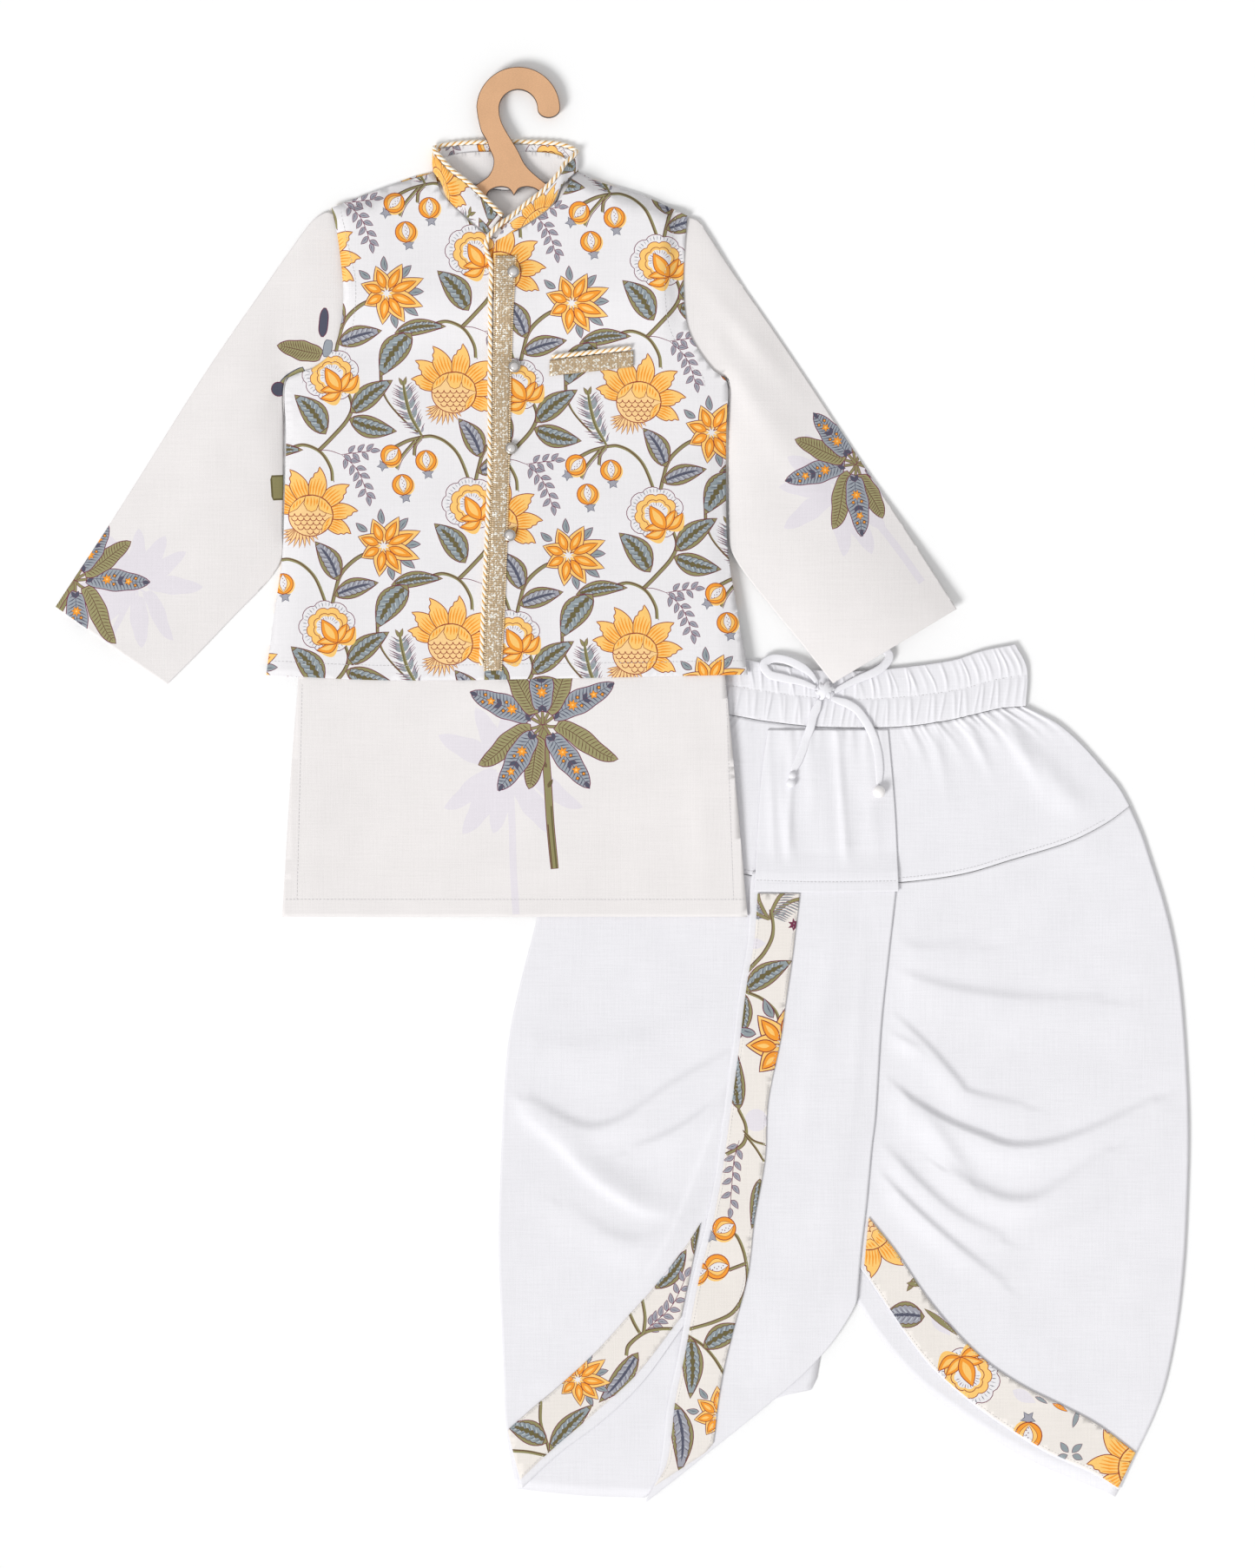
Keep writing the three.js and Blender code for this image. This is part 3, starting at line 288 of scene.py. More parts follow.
def clothFinish(name, tint, thread, slub, sheen, turn=0):
    # Plain weave: threads of the given pitch, thick and thin yarns both ways, a little cloudiness.
    finish = Finish(name, {
        "Roughness": 0.92, "Sheen Weight": sheen, "Sheen Roughness": 0.45, "Specular IOR Level": 0.2,
    })
    printed = finish.node("ShaderNodeAttribute", {"attribute_name": "tint"}, {},
        "Color") if tint is None else tint
    across = finish.noise((900, 34, 34), turn)
    along = finish.noise((38, 800, 38), turn)
    cloud = finish.noise((26, 26, 26), turn, 4)
    shade = 1 + slub * (across - 0.5) + slub * (along - 0.5) + 0.09 * (cloud - 0.5)
    grey = finish.blend(1.0, printed, shade, "MULTIPLY")
    finish.feed(finish.shader, {"Base Color": grey})
    pitch = 2 * math.pi / (thread * mm)
    apart = finish.node("ShaderNodeSeparateXYZ", {}, {"Vector": finish.stretched((1, 1, 1), turn)})
    x = apart
    y = Term(finish, apart.socket.node.outputs["Y"])
    weave = (x * pitch).sine() * (y * pitch).sine()
    finish.bump(0.5 * weave + 2.2 * across + 2.2 * along, 0.05 * mm)
    return finish.material


ink = {
    "ground": linear(233, 231, 233),
    "cream": linear(233, 229, 228),
    "maroon": linear(116, 52, 76),
    "rust": linear(150, 66, 50),
    "peach": linear(246, 206, 146),
    "amber": linear(248, 200, 116),
    "orange": linear(242, 156, 54),
    "olive": linear(144, 138, 96),
    "sage": linear(156, 150, 108),
    "moss": linear(106, 98, 64),
    "bark": linear(104, 76, 60),
    "slate": linear(146, 156, 160),
    "fog": linear(156, 162, 170),
    "mist": linear(196, 203, 208),
    "grey": linear(160, 160, 170),
    "dusk": linear(84, 86, 102),
    "haze": linear(226, 221, 227),
    "band": linear(234, 228, 222),
    "board": linear(214, 168, 128),
    "scorch": linear(66, 40, 30),
}
finishes = {
    "kurta": clothFinish("kurtaCloth", None, 0.55, 0.05, 0.15),
    "print": clothFinish("jacketPrint", None, 0.5, 0.045, 0.12, 1.4),
    "dhoti": clothFinish("dhotiCloth", linear(233, 232, 236), 0.6, 0.075, 0.15),
    "border": clothFinish("borderPrint", None, 0.55, 0.06, 0.12, 8),
    "tie": clothFinish("tieCloth", linear(236, 235, 239), 0.5, 0.05, 0.2, 30),
}


def clamp(t):
    return np.clip(t, 0, 1)


def ramp(x, start, end):
    return clamp((x - start) / (end - start))


def soft(t):
    return clamp(t) ** 2 * (3 - 2 * clamp(t))


def mix(a, b, t):
    return a + (b - a) * t


def smooth(rows, steps=6):
    # Catmull-Rom curve through the rows, with the given number of steps from one to the next
    rows = np.array(rows, float)
    if len(rows) < 3:
        return rows
    ends = np.vstack([2 * rows[0] - rows[1], rows, 2 * rows[-1] - rows[-2]])
    a, b, c, d = ends[:-3], ends[1:-2], ends[2:-1], ends[3:]
    t = np.linspace(0, 1, steps, endpoint=False)[:, None, None]
    curve = b + 0.5 * t * (c - a + t * (2 * a - 5 * b + 4 * c - d + t * (3 * b - a - 3 * c + d)))
    return np.vstack([curve.transpose(1, 0, 2).reshape(-1, rows.shape[1]), rows[-1]])


def pointOn(rows, t, by):
    # The point at the share t of a line's run, counted by x, by y or by length
    step = np.abs(np.diff(rows, axis=0))
    size = {"x": step[:, 0], "y": step[:, 1], "length": np.hypot(step[:, 0], step[:, 1])}[by]
    run = np.concatenate([[0], np.cumsum(size)])
    return [np.interp(t * run[-1], run, rows[:, k]) for k in (0, 1)]


def patch(left, right, bottom, top, sides="y", ends="x", bottomReach=1):
    # Points between four edges: the sides' blend, moved by the ends' departure from straight
    left, right, bottom, top = (smooth(rows) for rows in (left, right, bottom, top))

    def at(u, v):
        l, r = pointOn(left, v, sides), pointOn(right, v, sides)
        b, t = pointOn(bottom, u, ends), pointOn(top, u, ends)
        held = ramp(v, bottomReach, 0)
        return [
            mix(l[k], r[k], u)
            + held * (b[k] - mix(bottom[0, k], bottom[-1, k], u))
            + v * (t[k] - mix(top[0, k], top[-1, k], u))
            for k in (0, 1)
        ]

    return at


def sharesAt(at, x, y):
    # The u and v of points of a patch, by Newton's steps
    u, v = np.full_like(x, 0.5), np.full_like(x, 0.5)
    for _ in range(14):
        px, py = at(u, v)
        du, dv = np.where(u > 0.5, -0.002, 0.002), np.where(v > 0.5, -0.002, 0.002)
        ux, uy = at(u + du, v)
        vx, vy = at(u, v + dv)
        a, b, c, d = (ux - px) / du, (vx - px) / dv, (uy - py) / du, (vy - py) / dv
        det = a * d - b * c
        det = np.where(np.abs(det) < 1, 1, det)
        u = clamp(u + 0.9 * (d * (x - px) - b * (y - py)) / det)
        v = clamp(v + 0.9 * (a * (y - py) - c * (x - px)) / det)
    return u, v


def edgeOf(at, counts):
    # The outline of a patch as complex points x + iy, anticlockwise
    wide, high = counts
    u, v = np.linspace(0, 1, wide, endpoint=False), np.linspace(0, 1, high, endpoint=False)
    runs = [at(u, 0 * u), at(0 * v + 1, v), at(1 - u, 0 * u + 1), at(0 * v, 1 - v)]
    ring = np.concatenate([x + 1j * y for x, y in runs])
    return ring if areaOf(ring) > 0 else ring[::-1]


def areaOf(ring):
    return 0.5 * np.sum((np.conj(ring) * np.roll(ring, -1)).imag)


def within(points, ring):
    # Even-odd test: how many of the ring's edges lie to the right of each point
    a, b = ring[None], np.roll(ring, -1)[None]
    level = points.imag[:, None]
    meets = (a.imag > level) != (b.imag > level)
    rise = np.where(b.imag == a.imag, 1, b.imag - a.imag)
    reach = a.real + (level - a.imag) * (b.real - a.real) / rise
    return np.sum(meets & (points.real[:, None] < reach), axis=1) % 2 == 1


def addObject(name, points, faces, finish, tints=None):
    mesh = bpy.data.meshes.new(name)
    mesh.from_pydata(np.asarray(points) * mm, [], np.asarray(faces).tolist())
    mesh.update()
    mesh.shade_smooth()
    if tints is not None:
        colours = mesh.color_attributes.new("tint", "FLOAT_COLOR", "CORNER")
        colours.data.foreach_set("color", np.repeat(tints, len(faces[0]), axis=0).astype(np.float32).ravel())
    mesh.materials.append(finish)
    piece = bpy.data.objects.new(name, mesh)
    bpy.context.scene.collection.objects.link(piece)
    return piece


def mosaic(outline, shapes, placeOf, spacing, holes=(), ground="ground"):
    # Triangles between an outline, the edges of the coloured shapes on it and a grid of points.
    # Each takes the colour of the last shape that it lies in; placeOf turns x and y into x, y and z.
    low, high = (np.array([f(outline.real), f(outline.imag)]) for f in (np.min, np.max))
    near = [(r, c) for r, c in shapes if r.real.max() > low[0] and r.real.min() < high[0]]
    near = [(r, c) for r, c in near if r.imag.max() > low[1] and r.imag.min() < high[1]]
    grid = [np.arange(low[k] + spacing * 0.5, high[k], spacing) for k in (0, 1)]
    inner = (grid[0][None] + 1j * grid[1][:, None]).ravel()
    inner = inner[within(inner, outline)]
    rings = [outline, *holes, *[ring for ring, _ in near]]
    starts = np.cumsum([0] + [len(ring) for ring in rings])
    links = np.concatenate([
        np.stack([np.arange(a, b), np.roll(np.arange(a, b), -1)], 1) for a, b in zip(starts, starts[1:])
    ])
    flat = np.concatenate([*rings, inner])
    corners, _, faces, *_ = delaunay_2d_cdt(
        np.stack([flat.real, flat.imag], 1).tolist(), links.tolist(), [], 0, 1e-4, True
    )
    corners, faces = np.array(corners, float), np.array(faces)
    corners = corners[:, 0] + 1j * corners[:, 1]
    middle = corners[faces].mean(1)
    kept = within(middle, outline)
    for hole in holes:
        kept &= ~within(middle, hole)
    faces, middle = faces[kept], middle[kept]
    tints = np.tile(ink[ground], (len(faces), 1))
    order = np.argsort(middle.real)
    across = middle.real[order]
    for ring, colour in near:
        first, last = np.searchsorted(across, [ring.real.min(), ring.real.max()])
        close = order[first:last]
        close = close[(middle[close].imag > ring.imag.min()) & (middle[close].imag < ring.imag.max())]
        tints[close[within(middle[close], ring)]] = ink[colour]
    used, faces = np.unique(faces, return_inverse=True)
    faces = faces.reshape(-1, 3)
    points = np.stack(placeOf(corners[used].real, corners[used].imag), 1)
    a, b, c = (corners[used][faces[:, k]] for k in range(3))
    turned = ((np.conj(b - a) * (c - a)).imag < 0)[:, None]
    return points, np.where(turned, faces[:, ::-1], faces), tints


def gridFaces(wide, high, around=False):
    # Quads of a grid of points with wide columns, which may close round on itself
    columns = wide if around else wide - 1
    i, j = np.meshgrid(np.arange(columns), np.arange(high - 1))
    a, b = j * wide + i, j * wide + (i + 1) % wide
    return np.stack([a, b, b + wide, a + wide], 2).reshape(-1, 4)


def gridSheet(at, heightOf, us, vs):
    # A grid of points of a patch, each at the height of the cloth's top there
    u, v = np.meshgrid(us, vs)
    x, y = at(u, v)
    points = np.stack([x, y, heightOf(x, y, u, v)], 2).reshape(-1, 3)
    faces = gridFaces(len(us), len(vs))
    a, b, c = (points[faces[:, k], :2] for k in range(3))
    upward = np.cross(b - a, c - a).sum() > 0
    return points, faces if upward else faces[:, ::-1]


def finishSheet(piece, thick, nodes, slot, flat, area, restsOn):
    # Gives the cloth its wall, under its top, and says what it was cut to
    wall = piece.modifiers.new("wall", "SOLIDIFY")
    wall.thickness = thick * mm
    wall.offset = -1
    wall.use_rim = True
    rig.ride(piece, "root")
    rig.replaces(piece, *nodes)
    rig.slot(piece, slot)
    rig.sheet(piece, flat=flat, area=area, held="laid", rests_on=restsOn)


print("stage: tools ready")

# Sizes shared by the layers, as in the solids
layer = {
    "cloth": 1.0, "step": 1.3, "band": 1.6, "wall": 0.75, "centre": -87, "hangerHalf": 99,
    "hangerBump": 6.0, "lap": 1.7, "air": 0.6, "dhotiLift": 2.9, "waistLift": 3.7, "drape": 140,
    "front": 1.3, "panel": 2.6, "trim": 3.9, "waistFront": 1.9, "bow": 4.8,
}


def wrinkles(x, y, rows):
    # Sum of long soft ridges: x, y, length, width, direction in degrees and height of each
    high = np.zeros_like(x)
    for cx, cy, length, width, turn, rise in rows:
        along = (x - cx) * math.cos(math.radians(turn)) + (y - cy) * math.sin(math.radians(turn))
        aside = (y - cy) * math.cos(math.radians(turn)) - (x - cx) * math.sin(math.radians(turn))
        high += rise * np.exp(-((2 * along / length) ** 2) - (2 * aside / width) ** 2)
    return high


def ridges(x, y, rows):
    # Folds along bent lines drawn to the right: each falls off at its own rate above and below its line
    high = np.zeros_like(x)
    for fold in rows:
        line = smooth(fold["through"], 4)
        best, sign, share = np.full_like(x, 1e9), np.ones_like(x), np.zeros_like(x)
        for i, (a, b) in enumerate(zip(line, line[1:])):
            dx, dy = b - a
            t = clamp(((x - a[0]) * dx + (y - a[1]) * dy) / (dx * dx + dy * dy))
            away = np.hypot(x - a[0] - t * dx, y - a[1] - t * dy)
            closer = away < best
            best = np.where(closer, away, best)
            sign = np.where(closer, np.sign((y - a[1]) * dx - (x - a[0]) * dy), sign)
            share = np.where(closer, (i + t) / (len(line) - 1), share)
        spread = np.where(sign > 0, fold["above"], fold["below"])
        fade = np.sin(np.pi * mix(0.12, 0.88, share))
        high += fold["rise"] * fade * np.exp(-((best / spread) ** 2))
    return high


# Cords: the drawstring's two loops and two tails, rows of x, y, underside and width
ties = {
    "drawstring_loop_left": {
        "end": "object",
        "rows": [
            (145.6, 77.4, 4.8, 3.4), (141, 83.6, 4.8, 4.6), (134, 89, 4.8, 6.4), (123, 94, 3.9, 6.4),
            (112.5, 95, 3.4, 6.4),
            (106, 90.6, 4.2, 6.4), (110, 83.5, 4.8, 6.4), (120, 80.6, 4.8, 6.4), (132, 78, 4.8, 5.2),
            (139, 75.6, 4.8, 4.4),
            (145, 73, 4.8, 3.4),
        ],
    },
    "drawstring_loop_right": {
        "end": "object",
        "rows": [
            (157, 76.4, 4.8, 3.4), (162, 83.5, 4.8, 4.6), (168, 89.5, 4.8, 6.4), (177, 96, 4.2, 6.4),
            (188, 101.5, 3.6, 6.4),
            (196.5, 101.5, 3.2, 6.4), (200, 96.5, 3.6, 6.4), (196, 90, 4.2, 6.4), (189, 85, 4.8, 6.4),
            (176, 79.5, 4.8, 5.6), (166, 74.5, 4.8, 4.4), (158.5, 70.4, 4.8, 3.4),
        ],
    },
    "drawstring_tail_left": {
        "end": "knot",
        "rows": [
            (148, 64.6, 4.8, 3.4), (145.5, 58, 4.8, 6.4), (143, 52, 4.8, 6.4), (141, 44, 4.8, 6.4),
            (138, 36, 3.9, 6.4),
            (136, 29, 3.9, 6.4), (132, 19, 3.9, 6.4), (129, 13, 3.9, 5), (128, 9.6, 3.9, 3.4),
        ],
    },
    "drawstring_tail_right": {
        "end": "knot",
        "rows": [
            (156.6, 65.4, 4.8, 3.4), (162, 63.6, 4.8, 5.2), (168, 61.6, 4.8, 6.4),
            (175, 57.4, 4.8, 6.4), (181, 50, 4.8, 6.4),
            (185.6, 42, 4.8, 6.4), (189, 34, 3.9, 6.4), (191.4, 24, 3.9, 6.4), (192.4, 13, 3.9, 6.4),
            (192.4, 5, 3.9, 5),
            (192.2, 0.8, 3.9, 3.4),
        ],
    },
}
tieThick = 1.3


def tube(line, halfWide, halfHigh, sides, square=1.0):
    # Rings about a line: superellipse sections of the given half sizes, closed with a point at each end
    along = np.gradient(line, axis=0)
    along /= np.linalg.norm(along, axis=1)[:, None]
    side = np.cross(along, [0, 0, 1])
    side /= np.linalg.norm(side, axis=1)[:, None]
    over = np.cross(side, along)
    angle = np.linspace(0, 2 * np.pi, sides, endpoint=False)
    c = np.sign(np.cos(angle)) * np.abs(np.cos(angle)) ** square
    s = np.sign(np.sin(angle)) * np.abs(np.sin(angle)) ** square
    wide = np.broadcast_to(halfWide, len(line))[:, None, None] * c[None, :, None]
    high = np.broadcast_to(halfHigh, len(line))[:, None, None] * s[None, :, None]
    rings = line[:, None] + side[:, None] * wide + over[:, None] * high
    points = np.vstack([rings.reshape(-1, 3), line[:1], line[-1:]])
    faces = gridFaces(sides, len(line), True).tolist()
    count, last = len(line) * sides, (len(line) - 1) * sides
    for i in range(sides):
        faces.append([count, (i + 1) % sides, i])
        faces.append([count + 1, last + i, last + (i + 1) % sides])
    return points, faces


def addTube(name, points, faces, finish):
    mesh = bpy.data.meshes.new(name)
    mesh.from_pydata(np.asarray(points) * mm, [], faces)
    mesh.update()
    mesh.shade_smooth()
    mesh.materials.append(finish)
    piece = bpy.data.objects.new(name, mesh)
    bpy.context.scene.collection.objects.link(piece)
    return piece


tiePieces = {}
for name, tie in ties.items():
    rows = smooth(tie["rows"], 5)
    line = rows[:, :3] + [0, 0, tieThick / 2]
    points, faces = tube(line, rows[:, 3] / 2, tieThick / 2, 12, 0.6)
    piece = addTube(name.replace("drawstring", "tie"), points, faces, finishes["tie"])
    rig.ride(piece, "root")
    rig.replaces(piece, name)
    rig.slot(piece, "tie_cloth")
    tiePieces[name] = (piece, line, tie["end"])

print("stage: cords ready")

# Printed motifs: closed lines of complex points with the name of an ink, drawn one over the other
def counted(ring):
    return ring if areaOf(ring) > 0 else ring[::-1]


def swollen(ring, by):
    # The ring moved outwards by a distance, along its own normals
    ring = counted(ring)
    along = np.roll(ring, -1) - np.roll(ring, 1)
    return ring - 1j * by * along / np.maximum(np.abs(along), 1e-6)


def lined(ring, colour, line=0.6, by="maroon"):
    return [(swollen(ring, line), by), (ring, colour)]


def pointing(degrees):
    return np.exp(1j * math.radians(degrees))


def moved(shapes, at=0, turn=0, size=1):
    return [(ring * size * pointing(turn) + at, colour) for ring, colour in shapes]


def petal(length, wide, bend=0.0, blunt=0.8, count=9):
    # Half width goes as a sine of the length share to the power blunt, about a bowed midline
    t = np.linspace(0, 1, count)
    half = 0.5 * wide * np.sin(np.pi * t**blunt)
    spine = length * t + 1j * bend * np.sin(np.pi * t)
    return np.concatenate([spine - 1j * half, (spine + 1j * half)[-2:0:-1]])


def frill(length, wide, side):
    # A broad petal: one edge a smooth bow, the other with two bumps, and the tip leaning to the bumps
    bow = smooth([(0, 0.7), (0.2, 0.96), (0.42, 1.02), (0.64, 0.76), (0.84, 0.3), (1, -0.3)], 3)
    bumps = [(1, -0.3), (0.89, -0.26), (0.8, -0.38), (0.75, -0.66), (0.62, -0.7), (0.55, -0.96),
        (0.34, -1), (0.14, -0.86), (0, -0.7)]
    rows = np.vstack([bow[:-1], smooth(bumps, 3)])
    return length * rows[:, 0] + 0.5j * side * wide * rows[:, 1]


def bowed(points, steps=5):
    rows = smooth([(p.real, p.imag) for p in points], steps)
    return rows[:, 0] + 1j * rows[:, 1]


def strip(line, wide, ends=0.5):
    # A ribbon along a line, narrower at its ends
    along = np.gradient(line)
    side = 0.5j * wide * along / np.abs(along) * mix(1, ends, np.linspace(-1, 1, len(line)) ** 4)
    return np.concatenate([line - side, (line + side)[::-1]])


def stroke(a, b, wide=0.4):
    return strip(np.array([a, 0.5 * (a + b) + 0.04j * (b - a), b]), wide, 0.3)


def disc(radius, count=18, tall=1.0):
    turn = np.exp(2j * np.pi * np.arange(count) / count)
    return radius * (turn.real + 1j * tall * turn.imag)


def spiked(points, outer, inner, turn=0.0):
    # A star with the given number of points
    way = np.exp(1j * (np.pi * np.arange(2 * points) / points + turn))
    return way * np.where(np.arange(2 * points) % 2, inner, outer)


def vine(points, wide=2.5):
    # An olive stem with a dark side, and its outline printed a little beside it
    line = bowed(points)
    shapes = [(strip(line + 1.3 - 1.1j, 0.55, 1), "maroon"), (strip(line + 0.25 - 0.2j, wide, 1), "olive")]
    return shapes + [(strip(line - 0.6 + 0.5j, 0.8, 1), "bark")]


def fir(rib, reach):
    # A midrib with pointed veins to both sides: its edge goes in and out as it runs to the tip and back
    sides = []
    for side in (1, -1):
        edge = []
        for k in range(len(rib) - 1):
            way = (rib[k + 1] - rib[k]) / abs(rib[k + 1] - rib[k])
            edge += [rib[k] + 0.5j * side * way, rib[k] + way * reach[k] * (0.85 + 1j * side)]
        sides.append(edge)
    return np.array([*sides[0], rib[-1], *sides[1][::-1]])


def leaf(base, tip, wide, bend=1.5, lobes=4, dark=True):
    # An olive rim round a slate blade with a wavy edge, pale flecks and a fir of veins
    length = abs(tip - base)
    t = np.linspace(0.09, 0.91, 5 * lobes + 1)
    half = (0.5 * wide - 2.3) * np.sin(np.pi * t**0.8) ** 0.7 * (1 - 0.15 * np.cos(2 * np.pi * lobes * t) ** 2)
    spine = length * t + 1j * bend * np.sin(np.pi * t)
    blade = np.concatenate([spine - 1j * half, (spine + 1j * half)[::-1]])
    whole = petal(length, wide, bend, 0.8, 13)
    shapes = [(whole + 0.5, "olive"), *lined(whole, "olive"),
        *lined(blade, "slate" if dark else "grey", 0.6, "bark")]
    t = np.linspace(0.1, 0.84, 7)
    rib = length * t + 1j * bend * np.sin(np.pi * t)
    reach = 0.16 * wide * np.sin(np.pi * (t + 0.06) ** 0.8)
    for k in range(6):
        for side in (-1, 1):
            foot = rib[k] + 1 + 0.6j * side
            shapes.append((stroke(foot, foot + 1.7 * reach[k] * (0.8 + 1j * side), 0.6), "mist"))
            foot = rib[k] + 2.4 + 0.5j * side
            shapes.append((stroke(foot, foot + 1.7 * reach[k] * (0.9 + 1j * side), 0.5), "dusk"))
    shapes += lined(fir(rib, reach * (0.8 if dark else 0.4)), "moss" if dark else "dusk", 0.3,
        "bark" if dark else "dusk")
    return moved(shapes, base, math.degrees(np.angle(tip - base)))


def sunflower():
    # Broad striped petals behind a globe, with striped lobes at its top, scales below and a tuft at its foot
    shapes = []
    for angle, length, wide, side in (
        (160, 19, 11, -1), (-22, 18.5, 10.5, 1), (138, 23, 12, -1), (8, 21, 11.5, 1), (112, 23.5, 12.5, -1),
        (41, 22.5, 12.5, 1), (77, 22.5, 12.5, -1),
    ):
        one = lined(frill(length, wide, side), "amber", 0.65, "rust")
        for k in range(-2, 3):
            across = 0.2j * k * wide
            one.append((stroke(0.6 + 0.8 * across, length * (0.64 - 0.06 * abs(k)) + across, 1.3), "orange"))
        shapes += moved(one, 14.2 * pointing(angle), angle)
    for k in range(11):
        spike = lined(petal(11.5 + 3.2 * math.sin(0.314 * k), 2.1, 0.6, 0.6, 5), "peach", 0.45, "rust")
        shapes += moved(spike, -9.5 - 10j + 1.1 * max(0, k - 4), 186 + 13 * k)
    shapes += lined(disc(16.4, 30, 0.92), "peach", 0.65, "rust")
    for row in range(5):
        for k in range(-3, 3):
            spot = 4.7 * (k + 0.5 * (row % 2)) - 0.4 + 1j * (1.6 - 3.3 * row)
            if abs(spot.real + 1j * (spot.imag - 1.5) / 0.92) < 15:
                arc = spot + 2.35 * np.exp(1j * np.linspace(np.pi, 2 * np.pi, 7)) * (1 + 0.05j)
                shapes.append((strip(arc, 0.62, 1), "rust"))
    for lobe in (
        [-4 + 14.4j, -5.4 + 11j, -10.5 + 5j, -16 + 2.4j, -15.4 + 6j, -13 + 9.6j, -8.6 + 12.9j],
        [6.6 + 13.8j, 5.8 + 8.6j, 6.5 + 4.6j, 10 + 2.6j, 16.2 + 0.6j, 14.8 + 6.6j, 11 + 11j],
        [16.2 - 0.6j, 12 - 3j, 9 - 7.4j, 8.4 - 12.6j, 12 - 10.2j, 15 - 6j],
        [-3.8 + 14.4j, -5 + 8.6j, -2.6 + 4.2j, 0.6 + 2.8j, 4 + 4.2j, 5.6 + 8.4j, 6.6 + 13.8j, 1.4 + 14.9j],
    ):
        shapes += lined(np.array(lobe), "amber", 0.45, "rust")
    for a, b in (
        (-12.4 + 9.4j, -13.2 + 5.2j), (-10.2 + 11j, -10.8 + 6.8j), (-8 + 12j, -8.4 + 8.6j),
        (-2.2 + 13.2j, -2.8 + 8.2j),
        (0.2 + 13.6j, 0 + 7j), (2.6 + 13.4j, 2.6 + 7.2j), (4.8 + 12.6j, 4.4 + 8.2j), (8.4 + 11.4j, 8 + 6.4j),
        (10.6 + 9.8j, 10 + 5.2j), (12.8 + 7.4j, 12 + 3.6j), (14.2 - 2.4j, 11 - 6j),
        (13.2 - 5.6j, 10.4 - 8.6j),
        (11.6 - 8.6j, 9.6 - 11j),
    ):
        shapes.append((stroke(a, b, 1.3), "orange"))
    return shapes


def starFlower():
    # Eight pointed petals, one within the other, a pale star in the middle and small leaves between
    shapes = []
    for angle, length, wide in ((92, 11, 4.4), (46, 11, 5), (0, 11, 5), (322, 12, 5), (283, 10, 4.6),
        (138, 10, 4.4)):
        bud = lined(petal(length, wide, 0.7, 0.8, 9), "slate", 0.5,
            "maroon") + [(stroke(2, 0.75 * length, 0.6), "dusk")]
        shapes += moved(bud, 16.6 * pointing(angle), angle + 6)
    tips = ((22, 29.5), (62, 24.5), (112, 21.5), (160, 20), (208, 18.5), (262, 23), (302, 24.8), (340, 28.5))
    for angle, length in tips:
        shapes += moved(lined(petal(length, 12, 0, 0.72, 11), "amber"), 0, angle)
    for angle, length in tips:
        shapes += moved(lined(petal(length * 0.66, 6, 0, 0.8, 9), "orange", 0.55, "rust"),
            4.2 * pointing(angle), angle)
        shapes += moved([(petal(length * 0.36, 2.4, 0, 0.8, 5), "amber")], 7.5 * pointing(angle), angle)
    return shapes + [(spiked(8, 4.6, 1.7, 0.4), "ground")]


def scallops(radius, lobes, depth, tall=1.0, count=5):
    turn = np.linspace(0, 2 * np.pi, lobes * count, endpoint=False)
    edge = radius * (1 - depth + depth * np.abs(np.sin(0.5 * lobes * turn)) ** 0.7)
    return edge * (np.cos(turn) + 1j * tall * np.sin(turn))


def rose():
    # Pale scallops with rays, an amber frill, a white heart, and orange petals from a foot at the lower right
    shapes = lined(scallops(21.2, 9, 0.1, 0.92), "ground", 0.55)
    for k in range(42):
        way = np.exp(2j * np.pi * k / 42)
        shapes.append((stroke(18.6 * way, 15.4 * way, 0.55), "grey" if k % 2 else "dusk"))
    shapes += moved(lined(scallops(15.9, 9, 0.12, 0.94), "amber", 0.55, "rust"), 0.5 - 0.5j, 12)
    shapes += moved(lined(scallops(11, 8, 0.13, 0.94), "amber", 0.55, "rust"), 0.6 - 0.2j)
    shapes += moved([(scallops(9.2, 8, 0.13, 0.94), "ground")], 0.6 - 0.2j)
    for k in range(12):
        way = pointing(30 + 15 * k)
        shapes.append((stroke(0.6 - 0.2j + 8.4 * way, 0.6 - 0.2j + 5.4 * way, 0.5),
                "grey" if k % 2 else "maroon"))
    foot = 7.4 - 11.6j
    blades = ((201, 16, 6.4, 2), (181, 15, 5.4, -1.2), (42, 17.5, 6.6, -2), (62, 15.5, 6, 0.6),
        (124, 20.5, 10, 0.5))
    for angle, length, wide, bend in (blades[0], blades[2]):
        shapes += moved([(petal(length, 1.4 * wide, 1.6 * bend, 0.9, 11), "amber")], foot + 0.9 - 1j, angle)
    for angle, length, wide, bend in blades:
        one = lined(petal(length, wide, bend, 0.85, 11), "orange", 0.55, "rust")
        one.append((petal(0.72 * length, 0.5 * wide, 0.8 * bend, 0.85, 7) + 0.14 * length, "amber"))
        shapes += moved(one, foot, angle)
    return shapes


def pomegranate():
    # A round fruit split to show its seeds, with a small star at its foot and a pale print beside it
    shapes = [(disc(7.6, 18) + 1.4 - 1.1j, "amber")]
    shapes += moved(lined(spiked(5, 4.3, 1.9, 0.3), "grey", 0.5, "dusk"), 0.6 - 9.8j)
    shapes += lined(disc(7.4, 22), "orange", 0.6, "rust")
    slit = lined(petal(13.6, 10.4, 0, 1, 11), "amber", 0.3, "rust")
    slit += lined(petal(12.6, 5.4, 0, 1, 9), "ground", 0.35, "rust")
    shapes += moved(slit, 0.6 + 6.9j, 267)
    for k in range(7):
        shapes.append((disc(0.42, 5) + 0.2 + (k % 2) * 1.1 + 1j * (4 - 1.4 * k), "maroon"))
    return shapes


